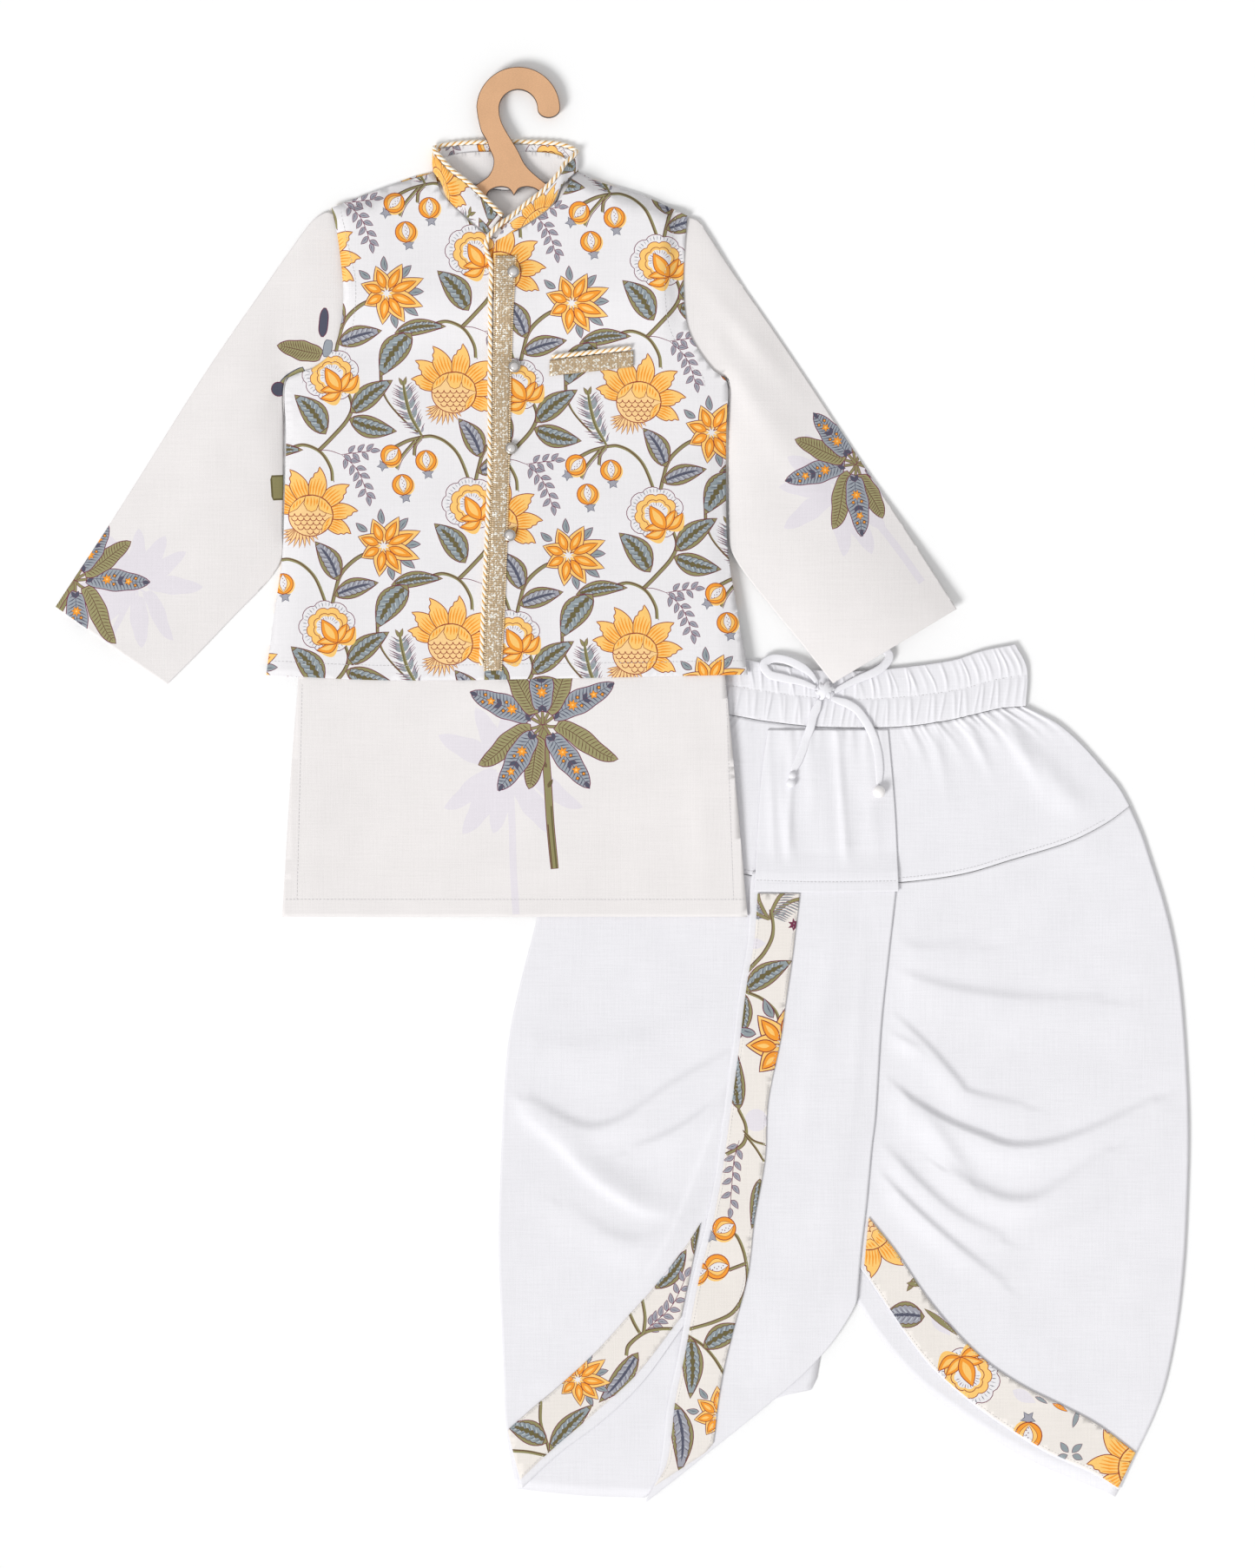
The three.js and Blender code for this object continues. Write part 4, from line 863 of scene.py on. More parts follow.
def sprig(points, pairs, size):
    # A fine stem with leaves on both sides, by turns, the last one at its tip
    line = bowed(points, 8)
    shapes = [(strip(line, 0.5, 0.6), "maroon")]
    for k in range(2 * pairs + 1):
        at = min(len(line) - 2, int((len(line) - 1) * (0.12 + 0.88 * k / (2 * pairs))))
        heading = math.degrees(np.angle(line[at + 1] - line[at]))
        turn = 0 if k == 2 * pairs else (-56, 42)[k % 2]
        one = lined(petal(size, 0.44 * size, 0.5, 0.75, 7), "grey", 0.42, "maroon")
        one.append((stroke(1, 0.66 * size, 0.45), "dusk"))
        shapes += moved(one, line[at] + 0.8 * pointing(heading + turn), heading + turn)
    return shapes


def feather(points, barbs=15):
    # A stem with fine barbs both sides, longest in the middle
    line = bowed(points, 8)
    shapes = []
    for k in range(barbs):
        at = int((len(line) - 2) * (0.08 + 0.86 * k / barbs))
        way = (line[at + 1] - line[at]) / abs(line[at + 1] - line[at])
        reach = 6.4 + 4.4 * math.sin(math.pi * (k + 1) / (barbs + 1)) + 0.8 * (k % 2)
        for side in (-1, 1):
            one = [(petal(0.86 * reach, 1.9, 0.9 * side, 0.5, 5), "slate" if k % 3 else "grey")]
            one.append((stroke(0.25 * reach, reach * 1.12 + 0.8j * side, 0.6), "maroon"))
            shapes += [(ring * way * np.exp(0.86j * side) + line[at], colour) for ring, colour in one]
    for side in (-1, 1):
        heading = math.degrees(np.angle(way)) + 24 * side
        shapes += moved(lined(petal(7, 2.4, 0, 0.7, 5), "olive", 0.3, "maroon"), line[-3], heading)
    return shapes + [(strip(line, 2.6, 0.4), "olive"), (strip(line - 0.3, 0.8, 0.4), "moss")]


def repeatUnit():
    # One repeat, millimetres from a point beside the middle of its sunflower
    rosePlace = 14 + 98j
    shapes = vine([15 + 19j, 14 + 28j, 8.5 + 38j, 1.5 + 43.5j, -8 + 46j, -18 + 43j])
    shapes += vine([5 + 42j, 14 + 51j, 25.5 + 64j, 29.6 + 75j, 26 + 87j])
    shapes += vine([-25 - 40j, -17 - 39.6j, -7 - 44j, 2.4 - 54j, 9.5 - 71.4j, 11 - 80j])
    shapes += vine([-25 - 40j, -36 - 43j, -46 - 48j], 2.3)
    shapes += vine([-26 - 41j, -30 - 46j, -31 - 54j], 1.8)
    shapes += vine([-30 - 43j, -40 - 55j, -44 - 64j], 1.6)
    shapes += vine([-56 + 8j, -55 - 4j, -49 - 16j, -36 - 30j, -25 - 39j], 1.5)
    shapes += vine([rosePlace + step for step in (33 + 57j, 21 + 51j, 10 + 40j, 5.5 + 26j, 3 + 15j)])
    shapes += [(strip(bowed([5 + 42j, 13 + 41.5j, 22 + 38.5j]), 0.5, 0.7), "maroon")]
    shapes += leaf(10 + 54j, -13 + 83j, 18, -3)
    shapes += leaf(29 + 70j, 60 + 94j, 16, 2)
    shapes += leaf(28 + 65j, 63 + 56j, 15.5, -2)
    shapes += leaf(-45 + 37j, -7 + 42j, 11, 2.5)
    shapes += leaf(-33 + 37j, -56 + 5j, 19.5, -3, 5)
    shapes += leaf(rosePlace + 8 + 35j, rosePlace - 9 + 63.5j, 15.5, -2.5, 4, False)
    shapes += leaf(rosePlace + 5.5 + 23.5j, rosePlace + 38 + 33j, 14, 1.5, 4, False)
    shapes += feather([-25 - 39j, -33 - 25j, -37 - 11j, -39 + 1j])
    shapes += sprig([22 + 38.5j, 29.5 + 32j, 35 + 25j, 39 + 15.4j, 41.3 + 7j], 5, 7.4)
    shapes += sprig([22 + 38.5j, 29 + 39.5j, 37 + 40.5j, 44 + 41j], 3, 7)
    shapes += moved(pomegranate(), -48 - 54j, -42)
    shapes += moved(pomegranate(), -21.9 - 58j, 6)
    shapes += moved(pomegranate(), -39.4 - 76j, 10)
    shapes += moved(rose(), rosePlace, 0)
    shapes += moved(starFlower(), rosePlace + 42 + 60.5j, 0)
    return shapes + moved(sunflower(), -1 - 7j, 0)


unit = repeatUnit()
printRun = {"down": -2.6 - 188.2j, "aside": -107 - 92j}


def printed(anchor, low, high):
    # The repeats that reach into a box, with one sunflower at the anchor
    reach = 175
    shapes = []
    for i in range(-6, 7):
        for j in range(-9, 10):
            at = anchor + i * printRun["down"] + j * printRun["aside"]
            if low.real - reach < at.real < high.real + reach and low.imag - reach < at.imag < high.imag + reach:
                shapes += moved(unit, at)
    return [
        (ring, colour)
        for ring, colour in shapes
        if ring.real.max() > low.real and ring.real.min() < high.real
        and ring.imag.max() > low.imag and ring.imag.min() < high.imag
    ]


print("stage: print ready,", len(unit), "shapes in a repeat")

# Heights of the upper layers, as in the solids: where they lie on the dhoti and come down from it
def lift(x, y):
    beside = (x - 27) * -0.909 - (y - 106) * -0.417
    across = soft(1 - beside / layer["drape"])
    above = soft(1 - (y - 110) / layer["drape"])
    return across * above * (layer["dhotiLift"] + layer["waistLift"] * soft((y + 90) / 134))


def air(x, y):
    return layer["air"] * np.sin(np.pi * np.sqrt(lift(x, y) / (layer["dhotiLift"] + layer["waistLift"])))


def overHanger(x, y, spread, low, high, shoulderRise):
    away = np.abs(x - layer["centre"])
    fromShoulder = (470 + shoulderRise - 0.37 * away - y) * 0.94
    beyond = away - layer["hangerHalf"]
    return soft(ramp(beyond, 19 + spread, 5 + spread)) * soft(ramp(y, low, high)) * ramp(fromShoulder, 0, 7)


def kurtaBump(x, y):
    return layer["hangerBump"] * overHanger(x, y, 0, 360, 388, 0)


def jacketBump(x, y):
    return layer["hangerBump"] * overHanger(x, y, 12, 322, 370, 6)


def kurtaBackZ(x, y):
    return lift(x, y) + air(x, y) + layer["step"] * ramp(y, 28, 72)


def kurtaFrontZ(x, y):
    return kurtaBackZ(x, y) + air(x, y) + layer["step"] + kurtaBump(x, y)


def jacketFrontZ(x, y, fromSide, v):
    step = layer["step"]
    besideSeam = np.maximum(ramp(fromSide, 0, 0.08), ramp(y, 250, 276))
    over = besideSeam * np.maximum(ramp(1 - v, 0, 0.02), ramp(fromSide, 0.2, 0.08))
    return lift(x, y) + 3 * air(x, y) + step + 2 * step * over + jacketBump(x, y)


jacketLeft = [
    (-266, 83), (-260, 129), (-254, 172), (-252, 224), (-251, 263), (-251, 302), (-233, 311),
    (-217, 324), (-210, 345),
    (-208, 368), (-210, 393), (-213, 414), (-217, 432),
]
jacketRight = [
    (94, 83), (86, 132), (80, 169), (78, 198), (78, 263), (79, 300), (68, 311), (54, 331), (48, 348),
    (46, 374), (47, 403),
    (49, 426),
]
frontEdgeLeft = [
    (-90, 79), (-88, 140), (-84, 234), (-83, 354), (-82, 398), (-104, 413), (-121, 428), (-135, 443),
    (-140, 459),
]
frontEdgeRight = [
    (-102.7, 79), (-100.7, 140), (-96.7, 234), (-95.7, 354), (-94.7, 404), (-81, 412), (-66, 421),
    (-52, 432), (-42, 444),
    (-35, 459),
]
shoulderLeft = [(-217, 432), (-179, 447), (-140, 459)]
shoulderRight = [(-35, 459), (-21, 453), (17, 441), (49, 426)]
kurtaLeft = [
    (-254, -98), (-248, 3), (-242, 79), (-240, 133), (-238, 198), (-237, 250), (-237, 297), (-211, 320),
    (-204, 346),
    (-203, 374), (-204, 400), (-205.5, 412), (-207, 424),
]
kurtaRight = [
    (94, -98), (86, -10), (77, 82), (69, 140), (64, 198), (63, 250), (64, 297), (46, 320), (38, 346),
    (37, 374), (38, 400),
    (39, 412), (40, 424),
]
neckFront = [(-207, 424), (-137, 452), (-131, 436), (-114, 418), (-86, 403), (-62, 418), (-46, 436),
    (-38, 452), (40, 424)]
neckBack = [(-207, 424), (-137, 452), (-87, 445), (-38, 452), (40, 424)]
cloth = layer["cloth"]

# Kurta
kurta = {
    "flat": (0.37, 0.58), "sleeveFlat": (0.24, 0.36), "puff": 4,
    "creases": [(-230, -40, 90, 14, 84, 0.5), (60, -30, 120, 16, 96, 0.6), (-80, -60, 160, 22, 4, 0.4)],
}
kurtaAt = patch(kurtaLeft, kurtaRight, [(-254, -98), (94, -98)], neckBack)
points, faces = gridSheet(
    kurtaAt, lambda x, y, u, v: kurtaBackZ(x, y) + cloth, np.linspace(0, 1, 70), np.linspace(0, 1, 110)
)
piece = addObject("kurtaBack", points, faces, finishes["kurta"], np.tile(ink["cream"], (len(faces), 1)))
finishSheet(piece, layer["wall"], ["kurta_back"], "kurta_cloth", kurta["flat"], 0.175,
    ["dhoti_waistband_front"])


def palmLeaf(length, wide, bend, slate):
    # A broad blunt blade with slanted hatching; the slate ones hold small flowers, curls and dark leaves
    t = np.linspace(0, 1, 19)
    spine = 3 + length * t + 1j * bend * np.sin(0.5 * np.pi * t) ** 2
    half = 0.5 * wide * np.sin(np.pi * (0.06 + 0.94 * t**0.85)) ** 0.62 * (1 + 0.05 * np.sin(17 * t))
    way = np.gradient(spine)
    side = 1j * half * way / np.abs(way)
    shapes = lined(np.concatenate([spine - side, (spine + side)[-2:0:-1]]), "fog" if slate else "sage", 0.65)
    hatch = "dusk" if slate else "bark"
    shapes.append((strip(spine[1:-1], 0.6, 0.4), hatch))
    for k in range(1, 17):
        for hand in (-1, 1):
            end = spine[k] + hand * side[k] * 0.94 + 0.5 * abs(side[k]) * way[k] / abs(way[k])
            shapes.append((stroke(spine[k], end, 0.85 if slate else 0.7), hatch))
    heading = math.degrees(np.angle(way[9]))
    if slate:
        for k, turn in ((2, 150), (2, 210), (9, 35), (9, -35), (16, 0)):
            shapes += moved(lined(petal(6, 3, 0, 0.9, 7), "dusk", 0.2), spine[k], heading + turn)
        for k, radius, points in ((6, 4.4, 7), (12, 3.4, 5)):
            for hand in (-1, 1):
                shapes += moved(lined(disc(0.9, 8), "orange", 0.6, "bark"),
                    spine[k + 2] + 0.42 * hand * side[k])
            shapes += moved(lined(spiked(points, radius, 0.5 * radius), "orange", 0.35, "bark"), spine[k],
                heading)
            shapes.append((disc(0.9, 6) + spine[k], "amber"))
    return shapes


def palm(size=1.0, trunk=True):
    # A plain garden palm of its own drawing: a slim trunk, and a crown of drooping leaves on short stalks
    shapes = []
    if trunk:
        line = bowed([0j, 2 - 40j, 3 - 75j, 5 - 108j])
        shapes += lined(strip(line, 5.2, 1), "olive", 0.5)
        shapes += [(strip(line[8:] + 1.5, 1.2, 1), "moss"), (strip(line[10:] - 1.8, 0.9, 1), "bark")]
        for at, turn in ((2, 60), (4, 122), (6, 58)):
            shapes += moved(lined(petal(7, 2.6, 0, 0.7, 5), "moss", 0.3), line[at], turn)
    crown = [
        (250, 40, 15, 5, False), (196, 46, 15, 14, False), (-10, 50, 14, -18, False), (226, 50, 17, 8, True),
        (-58, 50, 17, 2, True), (150, 50, 17, 4, True), (34, 52, 17, -6, True), (122, 44, 15, -3, False),
        (60, 46, 15, 4, False), (90, 44, 17, 0, True),
    ]
    for angle, length, wide, bend, slate in crown:
        stalk = strip(bowed([0j, 5 + 0.06j * bend, 13 + 0j]), 1.8, 1)
        shapes += moved(lined(stalk, "olive", 0.35), 0, angle)
        shapes += moved([(ring + 6, colour) for ring, colour in palmLeaf(length, wide, bend, slate)], 0,
            angle)
    return moved(shapes, 0, 0, size)


def ghost(shapes, at):
    # The same print seen through the cloth from the other side
    return [(ring + at, "haze") for ring, colour in shapes if colour in ("olive", "sage", "fog")]


kurtaPrint = ghost(palm(), -84 + 12j) + moved(palm(), -59 + 46j, 2)


def kurtaFrontPlace(x, y):
    z = kurtaFrontZ(x, y) + cloth + wrinkles(x, y, kurta["creases"])
    return x, y, z


def kurtaFrontAt(u, v):
    x, y = kurtaAt(u, v)
    drop = pointOn(smooth(neckBack), u, "x")[1] - pointOn(smooth(neckFront), u, "x")[1]
    return x, y - drop * ramp(v, 0.78, 1)


points, faces, tints = mosaic(edgeOf(kurtaFrontAt, (50, 70)), kurtaPrint, kurtaFrontPlace, 5, ground="cream")
piece = addObject("kurtaFront", points, faces, finishes["kurta"], tints)
finishSheet(piece, layer["wall"], ["kurta_front"], "kurta_cloth", kurta["flat"], 0.17, ["kurta_back"])

sleeves = {
    "kurta_sleeve_left": {
        "armhole": [
            (-207.8, 424), (-206.2, 412), (-204.7, 400), (-203.7, 374), (-204.7, 346), (-211.8, 320.4),
            (-237.9, 297.8),
        ],
        "cuff": [(-423.7, 134), (-340, 76)],
        "shoulder": [
            (-207.8, 424), (-218, 429), (-224, 428), (-233, 421), (-250, 398), (-269, 371), (-313, 307),
            (-376, 207),
            (-423.7, 134),
        ],
        "under": [
            (-237.9, 297.8), (-249, 306.5), (-253.6, 296), (-253, 263), (-254, 198), (-257, 164),
            (-295, 122), (-317, 99),
            (-340, 76),
        ],
        "print": [
            *moved(palmLeaf(34, 14, -2, False), -221 + 322j, 172),
            *lined(strip(bowed([-222 + 357j, -223 + 346j, -224 + 336j]), 6, 0.2), "dusk"),
            *lined(strip(bowed([-219 + 333j, -220 + 327j, -221 + 321j]), 6, 0.6), "fog", 0.5, "dusk"),
            *lined(strip(bowed([-238 + 311j, -247 + 306j, -254 + 300j]), 5, 0.8), "sage", 0.8, "dusk"),
            *lined(disc(5) - 256.5 + 296.5j, "dusk"),
            *lined(strip(bowed([-257 + 231j, -256.5 + 223j, -256 + 215j]), 9, 1), "olive", 1.4, "moss"),
            *ghost(moved(palm(0.8), -362 + 150j, -30), 0), *moved(palm(0.92), -409 + 154j, -30),
        ],
        "creases": [
            (-262, 300, 70, 16, 62, 1.5), (-300, 262, 120, 26, 58, 1.2), (-268, 330, 90, 14, 48, 1.2),
            (-330, 190, 120, 30, 50, 0.9),
        ],
    },
    "kurta_sleeve_right": {
        "armhole": [(40.8, 424), (39.7, 412), (38.7, 400), (37.7, 374), (38.7, 346), (46.8, 320.4),
            (64.9, 297.8)],
        "cuff": [(250, 132), (157.5, 76.5)],
        "shoulder": [
            (40.8, 424), (50, 425), (57, 423), (63, 415), (80, 389), (112, 343), (143, 297), (206, 201),
            (250, 132),
        ],
        "under": [
            (64.9, 297.8), (76, 306.5), (81.4, 296), (80, 263), (80, 198), (84, 171), (112, 133),
            (135, 105), (157.5, 76.5),
        ],
        "print": [
            *ghost(lined(strip(bowed([182 + 208j, 204 + 180j, 224 + 152j]), 5.5, 1), "olive"), 0),
            *ghost(moved(palm(0.9, False), 165 + 222j, 60), 0), *moved(palm(0.92, False), 175 + 241j, 40),
        ],
        "creases": [(90, 300, 70, 16, 118, 1.5), (120, 258, 120, 26, 122, 1.2), (92, 338, 90, 14, 130, 1.2)],
    },
}
for side in ("Left", "Right"):
    node = "kurta_sleeve_" + side.lower()
    sleeve = sleeves[node]
    sleeveAt = patch(
        sleeve["shoulder"], sleeve["under"], sleeve["armhole"], sleeve["cuff"], "length", "length", 0.12
    )

    def sleevePlace(x, y):
        u, v = sharesAt(sleeveAt, x, y)
        puff = kurta["puff"] * np.sin(np.pi * u) * soft(ramp(v, 0.12, 0.4))
        inner = 1 - np.abs(2 * u - 1) ** 7
        low = lift(x, y) + layer["step"] * ramp(v, 0.22, 0.1)
        return x, y, low + 1.2 + inner * (1.1 + puff + wrinkles(x, y, sleeve["creases"]))

    rim = edgeOf(sleeveAt, (30, 90))
    rings = [(swollen(rim, -inset), "cream") for inset in (1.2, 3, 6, 10)]
    upper = mosaic(rim, rings + sleeve["print"], sleevePlace, 5, ground="cream")
    lower, lowerFaces = gridSheet(
        sleeveAt,
        lambda x, y, u, v: lift(x, y) + layer["step"] * ramp(v, 0.22, 0.1) + cloth,
        np.linspace(0, 1, 20), np.linspace(0, 1, 60),
    )
    lowerFaces = np.vstack([lowerFaces[:, [0, 1, 2]], lowerFaces[:, [0, 2, 3]]])
    points = np.vstack([upper[0], lower])
    faces = np.vstack([upper[1], lowerFaces + len(upper[0])])
    tints = np.vstack([upper[2], np.tile(ink["cream"], (len(lowerFaces), 1))])
    piece = addObject("kurtaSleeve" + side, points, faces, finishes["kurta"], tints)
    finishSheet(piece, layer["wall"], [node], "kurta_cloth", kurta["sleeveFlat"], 0.068, ["kurta_back"])

print("stage: kurta ready")

# Jacket fronts, back and collar
jacket = {
    "anchorLeft": -124.5 + 301j, "anchorRight": 13.6 + 293.8j, "anchorBack": -140 + 250j,
    "collarAnchor": 60 + 4j,
}


def jacketHeight(at, mirrored):
    def place(x, y):
        u, v = sharesAt(at, x, y)
        if mirrored:
            z = jacketFrontZ(x, y, 1 - u, v) + layer["lap"] * ramp(u, 0.26, 0.1)
        else:
            z = jacketFrontZ(x, y, u, v)
        return x, y, z + cloth
    return place


jacketBackAt = patch(
    jacketLeft, jacketRight, [(-266, 83), (-186, 79), (3, 81), (94, 83)],
    [*shoulderLeft, (-87, 453), *shoulderRight]
)
jacketLeftAt = patch(jacketLeft, frontEdgeLeft, [(-266, 83), (-186, 79), (-90, 79)], shoulderLeft)
jacketRightAt = patch(frontEdgeRight, jacketRight, [(-102.7, 79), (3, 81), (94, 83)], shoulderRight)
rightTop, leftTop = jacketHeight(jacketRightAt, True), jacketHeight(jacketLeftAt, False)


# Name, node, outline, its points, height, the print's anchor, grid, flat size, area and what it lies on
for name, node, at, counts, place, anchor, spacing, flat, area, rest in (
    ("jacketFrontLeft", "jacket_front_left", jacketLeftAt, (40, 110), leftTop, jacket["anchorLeft"],
     6, (0.2, 0.41), 0.062, "kurta_front"),
    ("jacketFrontRight", "jacket_front_right", jacketRightAt, (40, 110), rightTop, jacket["anchorRight"],
     6, (0.22, 0.41), 0.066, "kurta_front"),
    ("jacketBack", "jacket_back", jacketBackAt, (60, 80), lambda x, y: (x, y, lift(x, y) + 0.02),
     jacket["anchorBack"], 8, (0.38, 0.41), 0.128, "kurta_back"),
):
    edge = edgeOf(at, counts)
    shapes = printed(anchor, edge.real.min() + 1j * edge.imag.min(), edge.real.max() + 1j * edge.imag.max())
    points, faces, tints = mosaic(edge, shapes, place, spacing)
    if name == "jacketBack":
        # Its print is underneath, on the jacket's outside
        faces = faces[:, ::-1]
    piece = addObject(name, points, faces, finishes["print"], tints)
    finishSheet(piece, layer["wall"], [node], "jacket_print", flat, area, [rest])
    print("stage:", name, len(faces), "faces")

# Collars: seam x and y, edge x and y, height and turn of the band, rolled round both sides of the neck
jacketCollar = [
    (-100, 411.5, -90.5, 424, 10.7, 0), (-120.5, 428.6, -113, 446, 10.7, 0),
    (-130, 438.5, -128, 458, 10.3, -20),
    (-134.6, 450.5, -136, 467, 8.4, -60), (-140.5, 460, -140.5, 474, 4.8, -90),
    (-137, 461, -138, 476, 2.2, -140),
    (-128, 459.2, -129, 478, 0.8, -180), (-114, 457.4, -114, 479.5, 0.8, -180),
    (-87, 454, -87, 480, 0.8, -180),
    (-59, 457.4, -59, 479.5, 0.8, -180), (-46, 459.2, -45, 478, 0.8, -180), (-37, 461, -36, 474, 2.2, -220),
    (-33.5, 460, -34, 471, 4.8, -270), (-41, 452, -41.5, 463, 8.4, -300),
    (-46, 446, -45.5, 456, 10.9, -345),
    (-52.7, 432.8, -57, 443, 11.3, -360), (-66.5, 421.8, -70, 433, 11.9, -360),
    (-81.5, 412.8, -81, 423.5, 12.0, -360),
    (-95, 406, -87.6, 417.4, 12.0, -360),
]
kurtaCollar = [
    (-88, 405, -86, 412, 9.1, 0), (-113.5, 419, -107, 430, 9.1, 0), (-127, 433, -121, 440, 9.1, -10),
    (-130, 446, -127.5, 452, 8.0, -35), (-134.4, 455, -134.4, 467, 5.8, -90),
    (-131, 454.5, -132, 470, 3.3, -140),
    (-124, 451.5, -124, 472.5, 2.4, -180), (-111, 449.6, -111, 474, 2.4, -180),
    (-87, 445.8, -87, 474.5, 2.4, -180),
    (-62, 449.8, -62, 474, 2.4, -180), (-50, 451.6, -50, 472.5, 2.4, -180),
    (-43.6, 454.5, -42.6, 469, 3.3, -220),
    (-41, 455, -41, 465, 5.8, -270), (-45.8, 446, -47.5, 452, 8.0, -325),
    (-50.5, 434.6, -54, 440, 9.1, -350),
    (-64, 420, -68, 430, 9.1, -360), (-85, 404.5, -83, 412, 9.1, -360),
]


def bandPlace(rows, thick):
    # A point of the band's outer face: run along the seam in millimetres, and across from seam to edge
    rows = smooth(rows, 5)
    run = np.concatenate([[0], np.cumsum(np.hypot(*np.diff(rows[:, :2], axis=0).T) + 0.6)])

    def place(s, t):
        seamX, seamY, edgeX, edgeY, z, turn = (np.interp(s, run, rows[:, k]) for k in range(6))
        share = t / 20
        aside, up = np.sin(np.radians(turn)), np.cos(np.radians(turn))
        out = thick * (0.5 + 0.35 * np.sin(np.pi * share))
        return mix(seamX, edgeX, share) + aside * out, mix(seamY, edgeY, share), np.maximum(z + up * out,
            0.03)
    return place, run[-1]


collars = [
    ("jacketCollar", "jacket_collar", jacketCollar, 1.6, finishes["print"], "jacket_print", (0.26, 0.024),
        True),
    ("kurtaCollar", "kurta_collar", kurtaCollar, 1.0, finishes["kurta"], "kurta_cloth", (0.24, 0.018), False),
]
for name, node, rows, thick, finish, slot, flat, hasPrint in collars:
    place, length = bandPlace(rows, thick)
    s, t = np.linspace(0, length, 120), np.linspace(0, 20, 8)
    edge = np.concatenate([s[:-1] + 0j, length + 1j * t[:-1], s[:0:-1] + 20j, 1j * t[:0:-1]])
    shapes = printed(jacket["collarAnchor"], -10j, length + 30j) if hasPrint else []
    points, faces, tints = mosaic(edge, shapes, place, 3, ground="ground" if hasPrint else "cream")
    piece = addObject(name, points, faces[:, ::-1], finish, tints)
    wall = piece.modifiers.new("wall", "SOLIDIFY")
    wall.thickness = thick * mm
    wall.offset = -1
    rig.ride(piece, "root")
    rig.replaces(piece, node)
    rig.slot(piece, slot)
    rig.sheet(piece, flat=flat, area=flat[0] * flat[1] * 0.8, held="stretched", rests_on=["jacket_front_left"])
print("stage: jacket ready")

# Dhoti: its cuts in metres, and the outlines of its pieces in millimetres
dhoti = {
    "leg": (0.3, 0.5), "yoke": (0.46, 0.15), "flap": (0.11, 0.13), "waist": (0.5, 0.052),
    "panel": (0.12, 0.5),
    "band": (0.04, 0.5), "gathers": 46,
}
waistTop = [
    (35, 103), (55, 100), (84, 96), (107, 92), (142, 87), (177, 86), (212, 89), (247, 94), (269, 101),
    (294, 106),
]
waistLow = [
    (31, 58.6), (55, 55.6), (84, 52.6), (107, 48.6), (142, 44.6), (177, 43.6), (212, 44.6), (247, 49.6),
    (281, 57.6),
    (302, 59.6),
]
yokeTop = [(x, y - 0.4) for x, y in waistLow]
yokeLow = [
    (-38, -15), (-21, -28), (6, -42), (49, -55), (87, -65), (132, -72), (170, -73), (209, -72),
    (254, -66), (292, -55),
    (334, -42), (362, -28), (380, -15),
]
yokeLeft = [(-38, -15), (-32, -1), (-23, 12), (-9, 31), (6, 44), (20, 53), (31, 58.2)]
yokeRight = [(380, -15), (372, -1), (361, 12), (344, 31), (327, 46), (313, 54), (302, 59.2)]
legTop = [(x, y - 0.3) for x, y in yokeLow]
legSideLeft = [
    (-86, -482), (-88, -443), (-90, -400), (-92, -348), (-91, -296), (-88, -228), (-84, -186),
    (-75, -144), (-64, -101),
    (-57, -62), (-49, -36), (-38, -15.3),
]
legSideRight = [
    (385, -499), (396, -476), (406, -449), (414, -411), (419, -373), (422, -331), (424, -257),
    (421, -188), (417, -144),
    (412, -113), (405, -85), (396, -57), (389, -36), (380, -15.3),
]
underPanelLeft = [
    (60, -387), (65, -359), (72, -331), (79, -296), (84, -261), (89, -224), (93, -193), (98, -151),
    (104, -116),
    (107.5, -68.9),
]
underPanelRight = [
    (167.5, -352), (173, -313), (177, -270), (180, -244), (184, -179), (189, -131), (195, -88),
    (195.4, -73),
]
panelLeft = [
    (17, -536.9), (27, -515), (31, -489), (34, -463), (42, -426), (49, -387), (55, -359), (62, -331),
    (69, -296),
    (74, -261), (79, -224), (83, -193), (88, -151), (94, -116), (96, -75), (98, -64),
]
panelRight = [
    (176, -385), (179, -348), (183, -313), (187, -270), (190, -244), (194, -179), (199, -131),
    (205, -78), (206, -64),
]
panelLow = [
    (17, -536.9), (45, -515), (66, -498), (86, -482), (107, -465), (135, -441), (156, -418),
    (170, -397), (176, -385),
]
